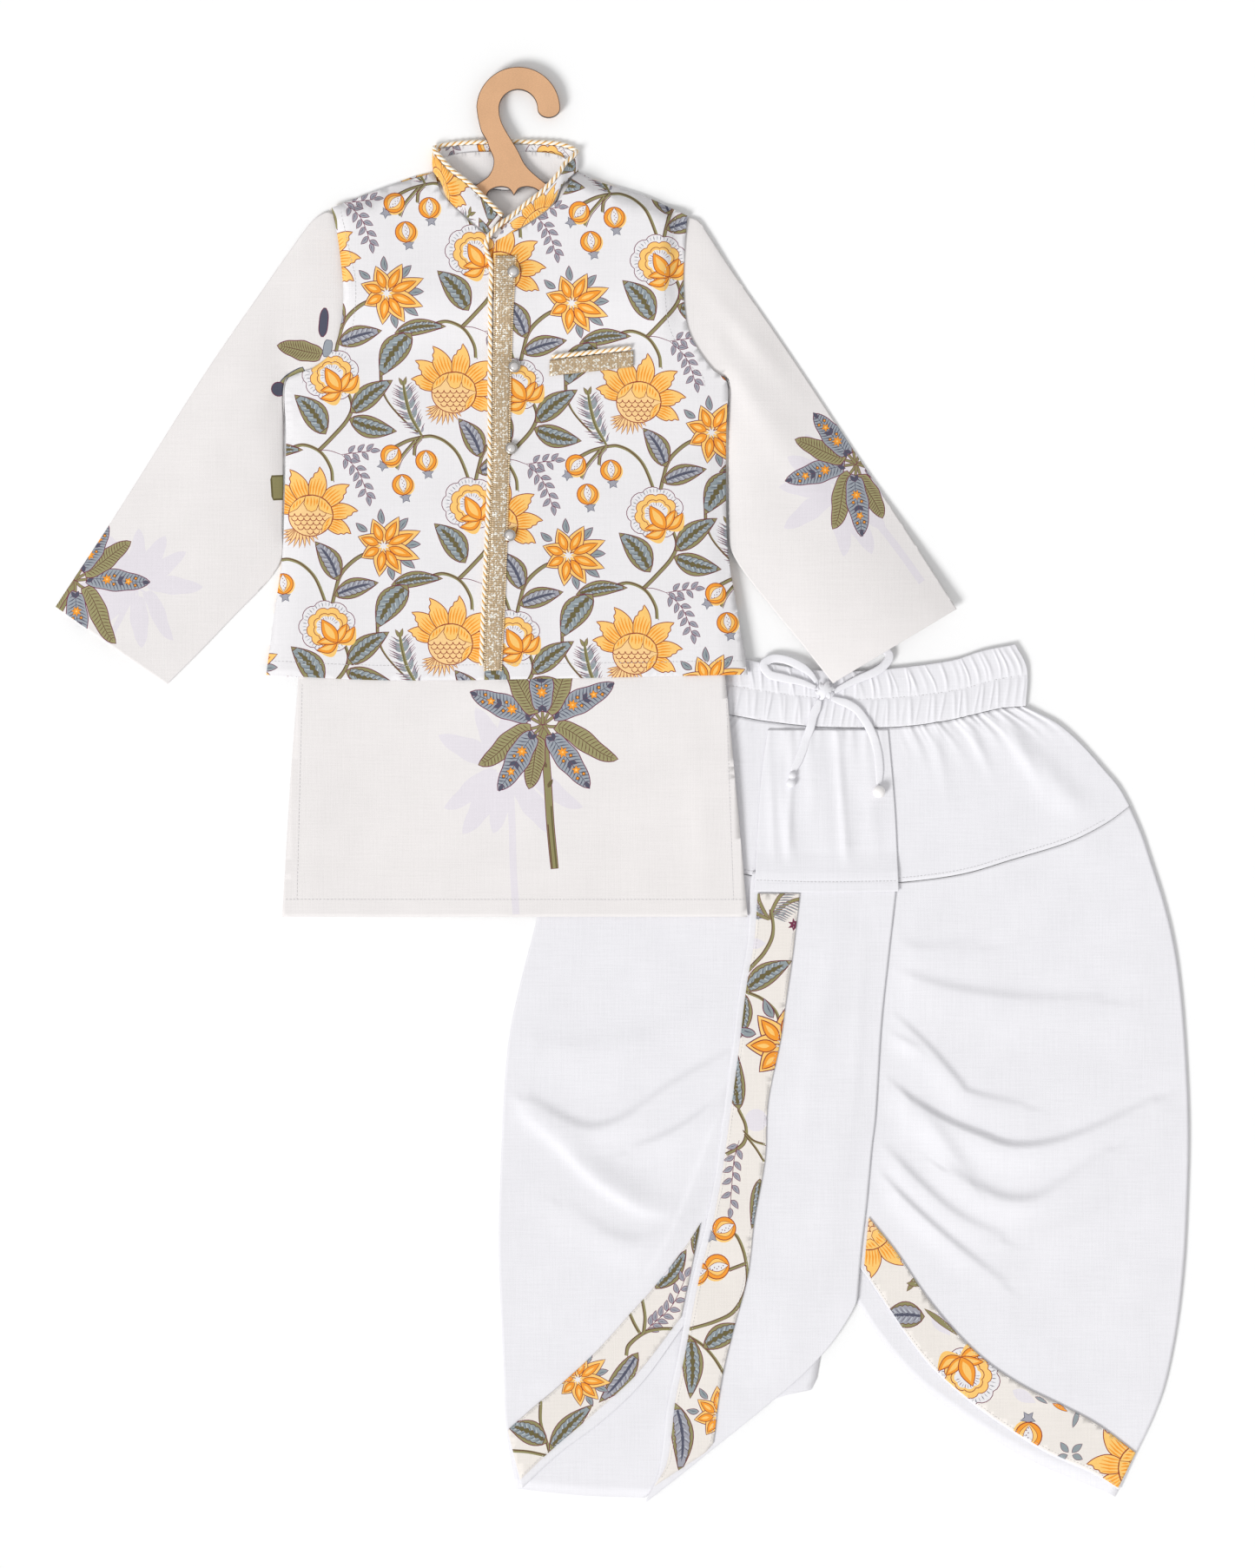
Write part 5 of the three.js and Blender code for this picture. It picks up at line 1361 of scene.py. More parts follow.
legFolds = {
    "right": [
        {"rise": 1.4, "above": 6, "below": 22,
            "through": [(200, -108), (207, -119), (224, -124), (262, -122)]},
        {"rise": 2.0, "above": 5, "below": 26,
            "through": [(197, -137), (226, -148), (260, -156), (304, -161), (356, -162)]},
        {"rise": 2.2, "above": 2.6, "below": 14,
            "through": [(196, -166), (226, -193), (250, -220), (260, -230), (300, -240)]},
        {"rise": 1.6, "above": 3, "below": 8, "through": [(192, -182), (206, -189), (220, -196)]},
        {"rise": 3.8, "above": 3, "below": 17, "through": [
            (192, -216), (218, -237), (241, -251), (267, -262), (291, -270), (320, -268), (354, -257),
            (398, -236)]},
        {"rise": 2.6, "above": 7, "below": 16,
            "through": [(222, -243), (236, -262), (246, -276), (258, -292)]},
        {"rise": 3.4, "above": 5, "below": 15, "through": [
            (246, -290), (264, -301), (288, -311), (313, -309), (338, -293), (362, -276)]},
        {"rise": 2.4, "above": 4, "below": 12,
            "through": [(186, -262), (206, -282), (224, -300), (250, -322), (282, -338)]},
        {"rise": 2.6, "above": 3, "below": 15,
            "through": [(183, -279), (207, -306), (244, -340), (284, -372)]},
        {"rise": 1.2, "above": 9, "below": 20,
            "through": [(300, -338), (340, -330), (380, -302), (408, -268)]},
    ],
    "left": [
        {"rise": 1.4, "above": 12, "below": 24,
            "through": [(-84, -190), (-30, -200), (20, -190), (84, -158)]},
        {"rise": 3.0, "above": 4, "below": 15,
            "through": [(-70, -236), (-30, -256), (0, -251), (38, -225), (84, -199)]},
        {"rise": 2.4, "above": 3, "below": 12, "through": [(8, -272), (34, -262), (62, -244), (80, -224)]},
        {"rise": 3.0, "above": 13, "below": 6,
            "through": [(-72, -244), (-46, -266), (-20, -292), (12, -313), (34, -318)]},
        {"rise": 2.0, "above": 7, "below": 16, "through": [(-40, -318), (-10, -338), (16, -342), (40, -326)]},
        {"rise": 1.6, "above": 3, "below": 12, "through": [(2, -392), (26, -356), (46, -318), (72, -250)]},
    ],
}
dice = np.random.default_rng(7)


def pleats(u, v, count, reach, rise, wide):
    # Small uneven pleats that run down from v = 1: each a narrow ridge of its own place, width and length
    high = np.zeros_like(u)
    for at, lean, length, tall, half in zip(
        (np.arange(count) + dice.uniform(0.15, 0.85, count)) / count,
        dice.uniform(-0.03, 0.03, count), dice.uniform(*reach, count), dice.uniform(*rise, count),
        dice.uniform(*wide, count),
    ):
        down = clamp((1 - v) / length)
        high += tall * (1 - down) ** 1.5 * np.exp(-(((u - at - lean * (1 - v)) / (half * (1 + 2 * down))) ** 2))
    return high


def addPanel(
    name, at, heightOf, counts, nodes, flat, area, restsOn, finish="dhoti", slot="dhoti_cloth", thick=None,
):
    us, vs = (np.linspace(0, 1, count) for count in counts)
    points, faces = gridSheet(at, heightOf, us, vs)
    piece = addObject(name, points, faces, finishes[finish])
    finishSheet(piece, thick or layer["wall"], nodes, slot, flat, area, restsOn)
    return piece


backLeftTop = [*[row for row in legTop if row[0] < 150], (149.8, -72.9)]
backRightTop = [(150.2, -72.9), *[row for row in legTop if row[0] > 150]]
backHemRight = [
    (150.2, -362), (176, -387), (191, -411), (218, -444), (246, -467), (273, -486), (300, -502),
    (328, -515),
    (356, -526), (369, -532),
]
backLeftAt = patch(
    [(-79, -526), (-84, -498), *legSideLeft],
    [(17, -533), (60, -500), (110, -458), (149.7, -420), (149.7, -72.9)],
    [(-79, -526), (-32, -531), (17, -533)], backLeftTop,
)
backRightAt = patch([(150.2, -362), (150.2, -72.9)], [(369, -532), *legSideRight], backHemRight, backRightTop)


def flatZ(x, y, u, v):
    return cloth + 0 * x


for name, at, node in (
    ("dhotiBackLeft", backLeftAt, "dhoti_back_left"), ("dhotiBackRight", backRightAt, "dhoti_back_right"),
):
    addPanel(name, at, flatZ, (40, 60), [node], dhoti["leg"], 0.1, ["floorSheet"])

hemLeft = [(-75, -526), (-47, -500), (-14, -475), (16, -446), (45, -406), (60, -387)]
hemRight = [
    (167.5, -352), (179, -362), (191, -379), (216, -416), (237, -441), (264, -464), (291, -483),
    (319, -500), (350, -514),
    (372, -527),
]
frontLeftAt = patch(
    [(-75, -526), *legSideLeft], underPanelLeft, hemLeft,
    [*[row for row in legTop if row[0] < 107], (107.5, -68.6)]
)
frontRightAt = patch(
    underPanelRight, [(372, -527), *legSideRight], hemRight,
    [(195.4, -72.7), *[row for row in legTop if row[0] > 196]]
)


def legHeight(side):
    def height(x, y, u, v):
        inner = ramp(u, 1, 0.93) if side == "left" else ramp(u, 0.055, 0.13)
        outer = ramp(u, 0, 0.1) if side == "left" else ramp(u, 1, 0.9)
        free = inner * outer * soft(ramp(v, 0.15, 0.26)) * ramp(v, 1, 0.96)
        return layer["front"] + cloth + free * ridges(x, y, legFolds[side])
    return height


for side, at, node, rest in (
    ("left", frontLeftAt, "dhoti_front_left", "dhoti_back_left"),
    ("right", frontRightAt, "dhoti_front_right", "dhoti_back_right"),
):
    name = "dhotiFront" + side.capitalize()
    addPanel(name, at, legHeight(side), (110, 190), [node], dhoti["leg"], 0.1, [rest])

yokeAt = patch(yokeLeft, yokeRight, yokeLow, yokeTop)
yokeCreases = [
    (296, 32, 60, 10, -62, 1.6), (262, 40, 50, 8, -66, 1.4), (316, 12, 80, 18, -48, 1.6),
    (236, 30, 60, 9, -80, 1.2),
    (60, 20, 80, 12, 96, 1.4), (20, 10, 90, 16, 60, 1.2), (340, -16, 90, 24, -36, 1.2),
]
addPanel("yokeBack", yokeAt, flatZ, (70, 24), ["dhoti_yoke_back"], dhoti["yoke"], 0.052, ["floorSheet"])


def yokeHeight(x, y, u, v):
    gathered = pleats(u, v, 52, (0.12, 0.5), (0.5, 1.7), (0.0035, 0.008))
    under = (1 - ramp(x, 92, 100) * ramp(x, 214, 206)) * ramp(v, 0, 0.15)
    return layer["front"] + cloth + under * (gathered + wrinkles(x, y, yokeCreases) * ramp(v, 0, 0.3))


addPanel("yokeFront", yokeAt, yokeHeight, (330, 50), ["dhoti_yoke_front"], dhoti["yoke"], 0.052, ["yokeBack"])
flapAt = patch(
    [(99, -79), (104, 3), (109, 42)], [(207, -79), (204, -16), (199, 42)],
    [(99, -79), (152, -80), (207, -79)],
    [(109, 42), (199, 42)],
)
flapFolds = [
    (112, -16, 100, 7, 93, 1.1), (126, -6, 90, 6, 88, 1.2), (124, -34, 70, 9, 97, 1.3),
    (164, -4, 120, 7, 94, 1.5),
    (168, -50, 60, 12, 88, 1.0), (142, 8, 70, 10, 90, 0.8), (186, 0, 110, 14, 93, 1.2),
    (152, -30, 90, 16, 92, 0.8),
]


def flapHeight(x, y, u, v):
    gathered = pleats(u, v, 12, (0.1, 0.6), (0.4, 1.3), (0.015, 0.03))
    hem = soft(ramp(v, 0.12, 0.3)) * soft(ramp(v, 1, 0.97) + 0.6)
    edge = 1 - np.abs(2 * u - 1) ** 10
    stitch = -0.25 * np.exp(-(((y - (-79 + 7.5)) / 0.9) ** 2))
    low = layer["panel"] + cloth + layer["step"] * ramp(v, 0.24, 0.12)
    return low + hem * edge * (gathered + wrinkles(x, y, flapFolds)) + stitch


addPanel("yokeFlap", flapAt, flapHeight, (130, 110), ["dhoti_yoke_flap"], dhoti["flap"], 0.013, ["yokeFront"])

waistAt = patch([(31, 58.6), (35, 103)], [(302, 59.6), (303, 87), (294, 106)], waistLow, waistTop)
gatherRows = {
    side: np.stack([
        (np.arange(dhoti["gathers"]) + dice.uniform(0.1, 0.9, dhoti["gathers"])) / dhoti["gathers"],
        dice.uniform(-0.006, 0.006, dhoti["gathers"]), dice.uniform(0.35, 1.0, dhoti["gathers"]),
        dice.uniform(0.0028, 0.0062, dhoti["gathers"]),
    ], 1) for side in ("low", "high")
}


def waistHeight(x, y, u, v):
    # Two casings, each a puff between stitch rows, crossed by uneven upright gathers
    high = np.zeros_like(u)
    for side, part in (("low", (v < 0.5)), ("high", (v >= 0.5))):
        gathered = np.zeros_like(u)
        for at, lean, tall, half in gatherRows[side]:
            gathered += tall * np.exp(-(((u - at - lean * (4 * v - 1)) / half) ** 2))
        high = np.where(part, gathered, high)
    puff = np.abs(np.sin(2 * np.pi * v)) ** 0.45
    return layer["waistFront"] + 1.15 + puff * (0.55 + 1.0 * np.minimum(high, 1.3))


addPanel(
    "waistBack", waistAt, lambda x, y, u, v: layer["band"] + 0 * x, (80, 12), ["dhoti_waistband_back"],
    dhoti["waist"], 0.0145, ["floorSheet"],
)
addPanel(
    "waistFront", waistAt, waistHeight, (620, 60), ["dhoti_waistband_front"], dhoti["waist"], 0.0145,
    ["waistBack"],
    thick=1.0,
)

panelAt = patch(panelLeft, panelRight, panelLow, [(98, -64), (206, -64)])


def panelBase(x, y):
    return layer["front"] + layer["step"] * ramp(y, -450, -412)


panelCreases = [
    (150, -140, 120, 26, 80, 0.7), (158, -300, 160, 30, 84, 0.8), (120, -420, 120, 30, 70, 0.9),
    (176, -190, 130, 9, 86, 0.5), (140, -230, 200, 18, 82, 0.5),
]


def panelHeight(x, y, u, v):
    # Creases fade at the panel's edges and under the printed band
    free = (1 - np.abs(2 * u - 1) ** 6) * ramp(x - 0.23 * y, 166, 190)
    return panelBase(x, y) + cloth + wrinkles(x, y, panelCreases) * free


addPanel(
    "centrePanel", panelAt, panelHeight, (70, 180), ["dhoti_centre_panel"], dhoti["panel"], 0.05,
    ["dhoti_back_left"],
)

# Printed bands: the print's motifs are laid one by one along each
def smallLeaf(base, tip, wide=3.4, colour="slate"):
    way = tip - base
    return moved(lined(petal(abs(way), wide, 0.3, 0.9, 9), colour, 0.35), base, math.degrees(np.angle(way)))


def fronds(at, turn):
    # Forked olive fronds over grey barbs
    shapes = []
    for angle, length in ((38, 34), (62, 32), (112, 30), (146, 26)):
        line = bowed([0j, 8 + 3j, length * 0.6 + 5j, length + 2j])
        one = []
        for k in range(12):
            root = line[2 + k]
            one.append((stroke(root, root + 7 - 8j * (1 if angle < 90 else -1), 1.2), "slate"))
            one.append((stroke(root + 0.5, root + 8 - 8.6j * (1 if angle < 90 else -1), 0.35), "maroon"))
        one += [(strip(line, 2.9, 0.6), "maroon"), (strip(line, 2.2, 0.6), "olive")]
        shapes += moved(one, 0, angle)
    return moved(shapes, at, turn)


centrePrint = [(disc(8.5, 14) + 100.3 - 250j, "haze"), (petal(14, 8) + 94 - 118j, "haze")]
centrePrint += vine([62 - 125j, 71 - 115j, 82 - 100j, 88 - 89j, 89 - 80j, 87 - 76j]) + fronds(88 - 84j, 0)
centrePrint += fronds(110 - 100j, -12)
centrePrint += vine([111 - 93j, 112.8 - 104j, 111.6 - 114j, 106 - 124.6j, 99.7 - 131.8j, 92 - 140j])
centrePrint += moved(lined(spiked(7, 5, 2.4), "maroon", 0.3), 129 - 104j)
centrePrint += leaf(92 - 153j, 127 - 131j, 16, 2)
centrePrint += vine([92.4 - 153.8j, 104.4 - 159.1j, 114.7 - 168.6j, 118.5 - 181.1j])
centrePrint += leaf(91 - 155j, 87 - 190j, 12, 2) + moved(starFlower(), 121 - 195j, 18, 1.4)
centrePrint += leaf(87.5 - 242j, 85.5 - 198.5j, 14, 2)
centrePrint += vine([87 - 242j, 92.5 - 255j, 90.3 - 267.5j, 77.7 - 275.3j])
centrePrint += vine([91 - 258j, 98 - 265j, 106.6 - 268j], 1.8)
centrePrint += vine([92 - 261j, 99.7 - 270.6j, 106 - 280.7j], 1.8)
centrePrint += sprig([87.7 - 265j, 84 - 278.5j, 82.4 - 295.7j, 80.8 - 317.7j], 5, 8)
centrePrint += leaf(103 - 294j, 97 - 331j, 12, 2)
centrePrint += vine([80 - 334j, 86 - 337j, 92 - 353j, 93 - 374j, 84 - 392j, 70 - 400j, 50 - 406j])
centrePrint += vine([79 - 362j, 92 - 357j], 1.8)
centrePrint += moved(pomegranate(), 76.5 - 331j, -62, 1.12) + moved(pomegranate(), 71 - 359.5j, -78, 1.2)
centrePrint += moved(pomegranate(), 56 - 364j, -70, 1.1)
centrePrint += vine([49 - 411j, 60 - 418j, 69 - 428j, 77 - 441j]) + leaf(61 - 420j, 94 - 404j, 16, 2.5)
centrePrint += leaf(51 - 412j, 51 - 458j, 15, 2) + moved(starFlower(), 72 - 471j, 30, 0.9)
centrePrint += leaf(40 - 462j, 43 - 514j, 16, 4, 5, False)
leftPrint = leaf(25 - 376j, 48 - 347j, 13, -2.5) + leaf(55 - 352j, 60 - 316j, 8, 1)
leftPrint += sprig([17 - 408j, 26 - 400j, 38 - 388j, 49 - 365j], 7, 8)
leftPrint += vine([3 - 426j, 5 - 418j, 16 - 409j, 28 - 406j, 42 - 406j]) + vine([16 - 409j, 17 - 397j,
        15 - 384j])
leftPrint += vine([13 - 409j, 9 - 402j, 5 - 393j]) + leaf(12 - 424j, -17 - 461j, 14, 2, 4, False)
leftPrint += moved(starFlower(), -33 - 444j, 14,
    0.86) + vine([-61 - 460j, -61 - 476j, -56 - 492j, -54 - 500j])
leftPrint += leaf(-56 - 491j, -86 - 478j, 17, -2) + leaf(-54 - 497j, -22 - 463j, 14, 2)
leftPrint += vine([-84 - 497j, -70 - 498j, -56 - 501j]) + [(disc(5, 14) * (1 + 0.3j) + 30 - 362j, "haze")]
rightPrint = moved(sunflower(), 186 - 331j, 232) + smallLeaf(221 - 366j, 213 - 378j, 4, "olive")
rightPrint += smallLeaf(213 - 372j, 225 - 374j, 3.4, "olive") + leaf(226 - 397j, 194 - 398j, 19, -2, 4, False)
for length, wide, turn, at in ((22, 11, -0.9j, 232 - 394j), (20, 9, -0.5j, 292 - 452j)):
    rightPrint.append((petal(length, wide) * np.exp(turn) + at, "haze"))
rightPrint += smallLeaf(226 - 391j, 251 - 411j, 4, "olive") + moved(rose(), 259 - 442j, 168, 1.12)
rightPrint += moved(pomegranate(), 304 - 486j, 178, 1.3) + smallLeaf(309 - 457j, 318 - 462j, 2.4)
rightPrint += smallLeaf(322 - 462j, 333 - 468j, 3, "orange") + smallLeaf(341 - 467j, 337 - 480j, 3.6)
for way, size in ((40, 10), (128, 9.4), (196, 9), (-22, 8)):
    spot = 335 - 500j + 2 * np.exp(1j * math.radians(way))
    rightPrint += smallLeaf(spot, spot + size * np.exp(1j * math.radians(way)), 4.4)
rightPrint += moved(sunflower(), 388 - 511j, 95, 1.1)


def centreTop(x, y):
    return panelBase(x, y + 14) + layer["step"] + cloth


def sideTop(x, y):
    return layer["panel"] + cloth + 0 * x


def bandObject(name, at, shapes, heightOf, node, flat, area, restsOn):
    points, faces, tints = mosaic(
        edgeOf(at, (60, 60)), shapes, lambda x, y: (x, y, heightOf(x, y)), 5, ground="band"
    )
    piece = addObject(name, points, faces, finishes["border"], tints)
    finishSheet(piece, layer["wall"], [node], "border_print", flat, area, restsOn)


centreAt = patch(
    [(24, -524), (33, -509), (37, -487), (40, -460), (47, -426), (54, -387), (60, -359), (67, -331),
        (74, -296), (79, -261),
     (84, -224), (88, -193), (93, -151), (99, -116), (101.5, -80.6)],
    [(62, -499), (68, -493), (72, -460), (76, -436), (83, -408), (94, -366), (99, -324), (107, -279),
        (109, -237),
     (118, -193), (122, -165), (127, -131), (130, -106), (133, -80.6)],
    [(24, -524), (62, -499)], [(101.5, -80.6), (133, -80.6)],
)
bandObject(
    "borderCentre", centreAt, centrePrint, centreTop, "dhoti_border_centre", dhoti["band"], 0.0165,
    ["centrePanel"],
)
bandLeftAt = patch(
    [(-76, -519), (-85.4, -482)], [(44, -398), (59, -327)],
    [(-76, -519), (-54, -498), (-18, -467), (12, -439), (39, -404), (44, -398)],
    [(-85.4, -482), (-65, -464), (-47, -449), (-20, -424), (8, -393), (25, -374), (48, -344), (59, -327)],
)
bandRightAt = patch(
    [(181, -361.6), (184.6, -323)], [(371, -525), (384, -499)],
    [(181, -361.6), (191, -377), (216, -414), (237, -439), (264, -462), (291, -481), (319, -498), (350, -512),
     (371, -525)],
    [(184.6, -323), (206, -350), (226, -380), (248, -407), (273, -431), (300, -449), (328, -463), (356, -478),
     (384, -499)],
)
for name, at, shapes, node, rest, flat in (
    ("borderLeft", bandLeftAt, leftPrint, "dhoti_border_left", "dhotiFrontLeft", (0.034, 0.185)),
    ("borderRight", bandRightAt, rightPrint, "dhoti_border_right", "dhotiFrontRight", (0.032, 0.25)),
):
    bandObject(name, at, shapes, sideTop, node, flat, 0.95 * flat[0] * flat[1], [rest])
print("stage: dhoti ready")

# Turned bodies
def lathe(profile, sides, centre):
    # A turned body about an upright axis, from rows of radius and height, closed at both ends
    turn = np.linspace(0, 2 * np.pi, sides, endpoint=False)
    rows = np.array(profile, float)
    rings = np.stack([
        rows[:, :1] * np.cos(turn), rows[:, :1] * np.sin(turn),
        np.broadcast_to(rows[:, 1:], (len(rows), sides)),
    ], 2).reshape(-1, 3)
    points = np.vstack([rings, [0, 0, rows[0, 1]], [0, 0, rows[-1, 1]]]) + np.array(centre)
    faces = gridFaces(sides, len(rows), True).tolist()
    count, last = len(rows) * sides, (len(rows) - 1) * sides
    for i in range(sides):
        faces.append([count, (i + 1) % sides, i])
        faces.append([count + 1, last + i, last + (i + 1) % sides])
    return points, faces


def ball(centre, radius, high, sides=20, rings=12):
    # A ball of the given radius and height, standing on its lowest point
    t = np.linspace(0.02, 0.98, rings) * np.pi
    return lathe(np.stack([radius * np.sin(t), 0.5 * high * (1 - np.cos(t))], 1), sides, centre)


# Finishes of the trims
def threadFinish(name, colour, metal, rough):
    finish = Finish(name, {"Metallic": metal, "Roughness": rough, "Sheen Weight": 0.3})
    fibre = finish.noise((2600, 2600, 900), 0, 3)
    finish.feed(finish.shader, {"Base Color": finish.blend(1.0, colour, 0.78 + 0.44 * fibre, "MULTIPLY")})
    finish.bump(fibre, 0.12 * mm)
    return finish.material


def glitterFinish():
    # Woven metal braid: fine cross ribs, and flecks that catch or miss the light. Besides their real metal and gloss,
    # the flecks are painted lighter, up to near white, as painted glints, and each rib is painted lighter along its
    # raised crest as a painted highlight; the blotches are the braid's own uneven tone.
    finish = Finish("goldBraid", {"Specular IOR Level": 0.6})
    cells = {"Vector": finish.stretched((1, 1, 1)), "Scale": 950.0}
    flecks = finish.node("ShaderNodeTexVoronoi", {"feature": "F1"}, cells, "Color")
    fleck = finish.node("ShaderNodeSeparateColor", {}, {"Color": flecks}, "Red")
    blotch = finish.noise((420, 420, 420), 0, 3)
    split = finish.node("ShaderNodeSeparateXYZ", {}, {"Vector": finish.place()})
    x, y = split, Term(finish, split.socket.node.outputs["Y"])
    rib = (y * (2 * math.pi / (1.5 * mm))).sine() * 0.5 + 0.5
    braid = (x * (2 * math.pi / (2.1 * mm))).sine() * 0.5 + 0.5
    # Painted glints and highlights: the base colour is made lighter on the flecks and along the rib crests, with
    # uneven blotches of the braid's own tone
    light = 0.5 + 0.34 * fleck + 0.22 * blotch + 0.16 * rib
    # Painted glints: the strongest flecks are blended towards near white
    colour = finish.blend((fleck * 1.1).between(0.72, 0.98), linear(206, 180, 144), linear(255, 252, 242))
    finish.feed(finish.shader, {
        "Base Color": finish.blend(1.0, colour, light, "MULTIPLY"), "Metallic": 0.2 + 0.4 * fleck,
        "Roughness": 0.62 - 0.35 * fleck,
    })
    finish.bump(0.6 * rib + 0.4 * braid + 1.1 * fleck, 0.22 * mm)
    return finish.material


def boardFinish():
    # Pressed fibreboard: fine pale and dark flecks
    finish = Finish("hangerBoard", {"Roughness": 0.62, "Specular IOR Level": 0.35})
    tint = finish.node("ShaderNodeAttribute", {"attribute_name": "tint"}, {}, "Color")
    flecks = finish.noise((900, 1500, 900), 35, 3)
    cloud = finish.noise((60, 40, 60), 10, 3)
    light = 0.72 + 0.34 * flecks + 0.22 * cloud
    finish.feed(finish.shader, {"Base Color": finish.blend(1.0, tint, light, "MULTIPLY")})
    finish.bump(flecks, 0.04 * mm)
    return finish.material


def plainFinish(name, sockets, grain=0.0):
    finish = Finish(name, sockets)
    if grain:
        finish.bump(finish.noise((700, 700, 700), 0, 3), grain * mm)
    return finish.material


finishes.update({
    "gold": threadFinish("goldThread", linear(226, 166, 62), 0.35, 0.42),
    "cream": threadFinish("creamThread", linear(250, 243, 230), 0.0, 0.7),
    "paleGold": threadFinish("paleGoldThread", linear(232, 206, 164), 0.2, 0.4),
    "braid": glitterFinish(),
    "board": boardFinish(),
    "scorch": threadFinish("scorchedEdge", linear(58, 36, 28), 0.0, 0.85),
    "silver": plainFinish("buttonMetal", {"Base Color": linear(188, 184, 180), "Metallic": 0.9,
            "Roughness": 0.24}, 0.02),
    "pearl": plainFinish("buttonPearl", {
        "Base Color": linear(214, 211, 210), "Metallic": 0.3, "Roughness": 0.16, "Coat Weight": 0.6,
        "Specular IOR Level": 0.6,
    }, 0.01),
    "thread": threadFinish("sewingThread", linear(232, 230, 232), 0.0, 0.75),
    "bead": plainFinish("beadFinish", {"Base Color": linear(246, 243, 242), "Roughness": 0.6}, 0.08),
})


def trim(piece, slot, *nodes):
    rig.ride(piece, "root")
    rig.replaces(piece, *nodes)
    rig.slot(piece, slot)
    return piece


def joined(parts):
    # Several bodies as one list of points and faces
    points, faces, start = [], [], 0
    for body, quads in parts:
        points.append(body)
        faces += [[i + start for i in face] for face in quads]
        start += len(body)
    return np.vstack(points), faces


def evened(line, step):
    # The same line with points at an even step
    run = np.concatenate([[0], np.cumsum(np.linalg.norm(np.diff(line, axis=0), axis=1))])
    at = np.linspace(0, run[-1], max(3, int(run[-1] / step)))
    return np.stack([np.interp(at, run, line[:, k]) for k in range(3)], 1), at


# Twisted rope along the collar and down the lapped front, and another over the pocket
rope = {"radius": 1.8, "gold": 0.74, "cream": 1.16, "offset": 0.84, "lay": 10.4, "strands": 4}
ropeDown = [
    (-92.6, 417), (-100, 408), (-101, 399), (-98, 391), (-97.4, 383), (-97.6, 374), (-98, 366),
    (-98.2, 358),
    (-98.2, 350), (-98.2, 338), (-98.4, 308), (-98.7, 263), (-99, 232), (-100.5, 194), (-102, 162),
    (-103.4, 129),
    (-104.6, 97), (-104.9, 90),
]


def twisted(name, line, node):
    # Strands wind round the line: each stands off it by the same distance, turned by its own share
    line, run = evened(smooth(line, 6), 0.85)
    along = np.gradient(line, axis=0)
    along /= np.linalg.norm(along, axis=1)[:, None]
    side = np.cross(along, [0, 0, 1])
    side /= np.linalg.norm(side, axis=1)[:, None]
    over = np.cross(side, along)
    for colour, first in (("gold", 0), ("cream", 1)):
        parts = []
        for k in range(first, rope["strands"], 2):
            angle = (2 * np.pi * (run / rope["lay"] + k / rope["strands"]))[:, None]
            strand = line + rope["offset"] * (side * np.cos(angle) + over * np.sin(angle))
            parts.append(tube(strand, rope[colour], rope[colour], 7))
        points, faces = joined(parts)
        trim(addTube(name + colour.capitalize(), points, faces, finishes[colour]), "gold_rope", node)


edge = np.array([row[2:5] for row in jacketCollar])
seam = np.array([row[0:2] for row in jacketCollar])
upper = []
for i in range(len(edge) - 1):
    along = edge[i + 1] - edge[max(0, i - 1)]
    along = along / np.linalg.norm(along)
    out = np.array([*(edge[i, :2] - seam[i]), 0.0])
    out -= along * np.dot(out, along)
    point = edge[i] + out / np.linalg.norm(out) * (rope["radius"] + 0.2)
    upper.append([point[0], point[1], max(point[2], rope["radius"])])
down = np.array(ropeDown, float)
dx, dy = down[:, 0], down[:, 1]
base = lift(dx, dy) + 3 * layer["step"] + jacketBump(dx, dy) + 3 * air(dx, dy)
down = np.column_stack([down, base + cloth + 0.3 + rope["radius"] + layer["band"] * ramp(dy, 396, 408)])
twisted("ropeTrim", np.vstack([upper, down]), "jacket_rope_trim")

pocket = {"left": -54, "right": 8.5, "lowLeft": 306, "lowRight": 313, "high": 12.2, "rise": 1.2, "z": 5.46}
pocketLine = [
    (mix(pocket["left"], pocket["right"], t),
        mix(pocket["lowLeft"], pocket["lowRight"], t) + pocket["high"] + 2.2,
     pocket["z"] + rope["radius"] - 0.2)
    for t in (0.03, 0.35, 0.66, 0.97)
]
twisted("pocketRope", pocketLine, "jacket_pocket_rope")


# Braids: a flat woven strip with a picot edge
def picots(line, size, step):
    # A row of small thread loops, as flattened balls along the line
    spots, _ = evened(line, step)
    body, quads = ball((0, 0, -0.35 * size), size, 0.9 * size, 8, 5)
    return joined([(body + spot, quads) for spot in spots])


laceRows = [(86, -102, -90.5), (140, -100.2, -88), (234, -96.2, -85), (328, -94.9, -83), (395, -93.8, -79.5)]
laceAt = patch(
    [(x, y) for y, x, _ in laceRows], [(x, y) for y, _, x in laceRows], [(-102, 86), (-90.5, 86)],
    [(-93.8, 395), (-79.5, 395)],
)


def laceHeight(x, y):
    over = 3 * layer["step"] + layer["lap"] + jacketBump(x, y) + cloth
    return lift(x, y) + 3 * air(x, y) + over + 0.45 + cloth


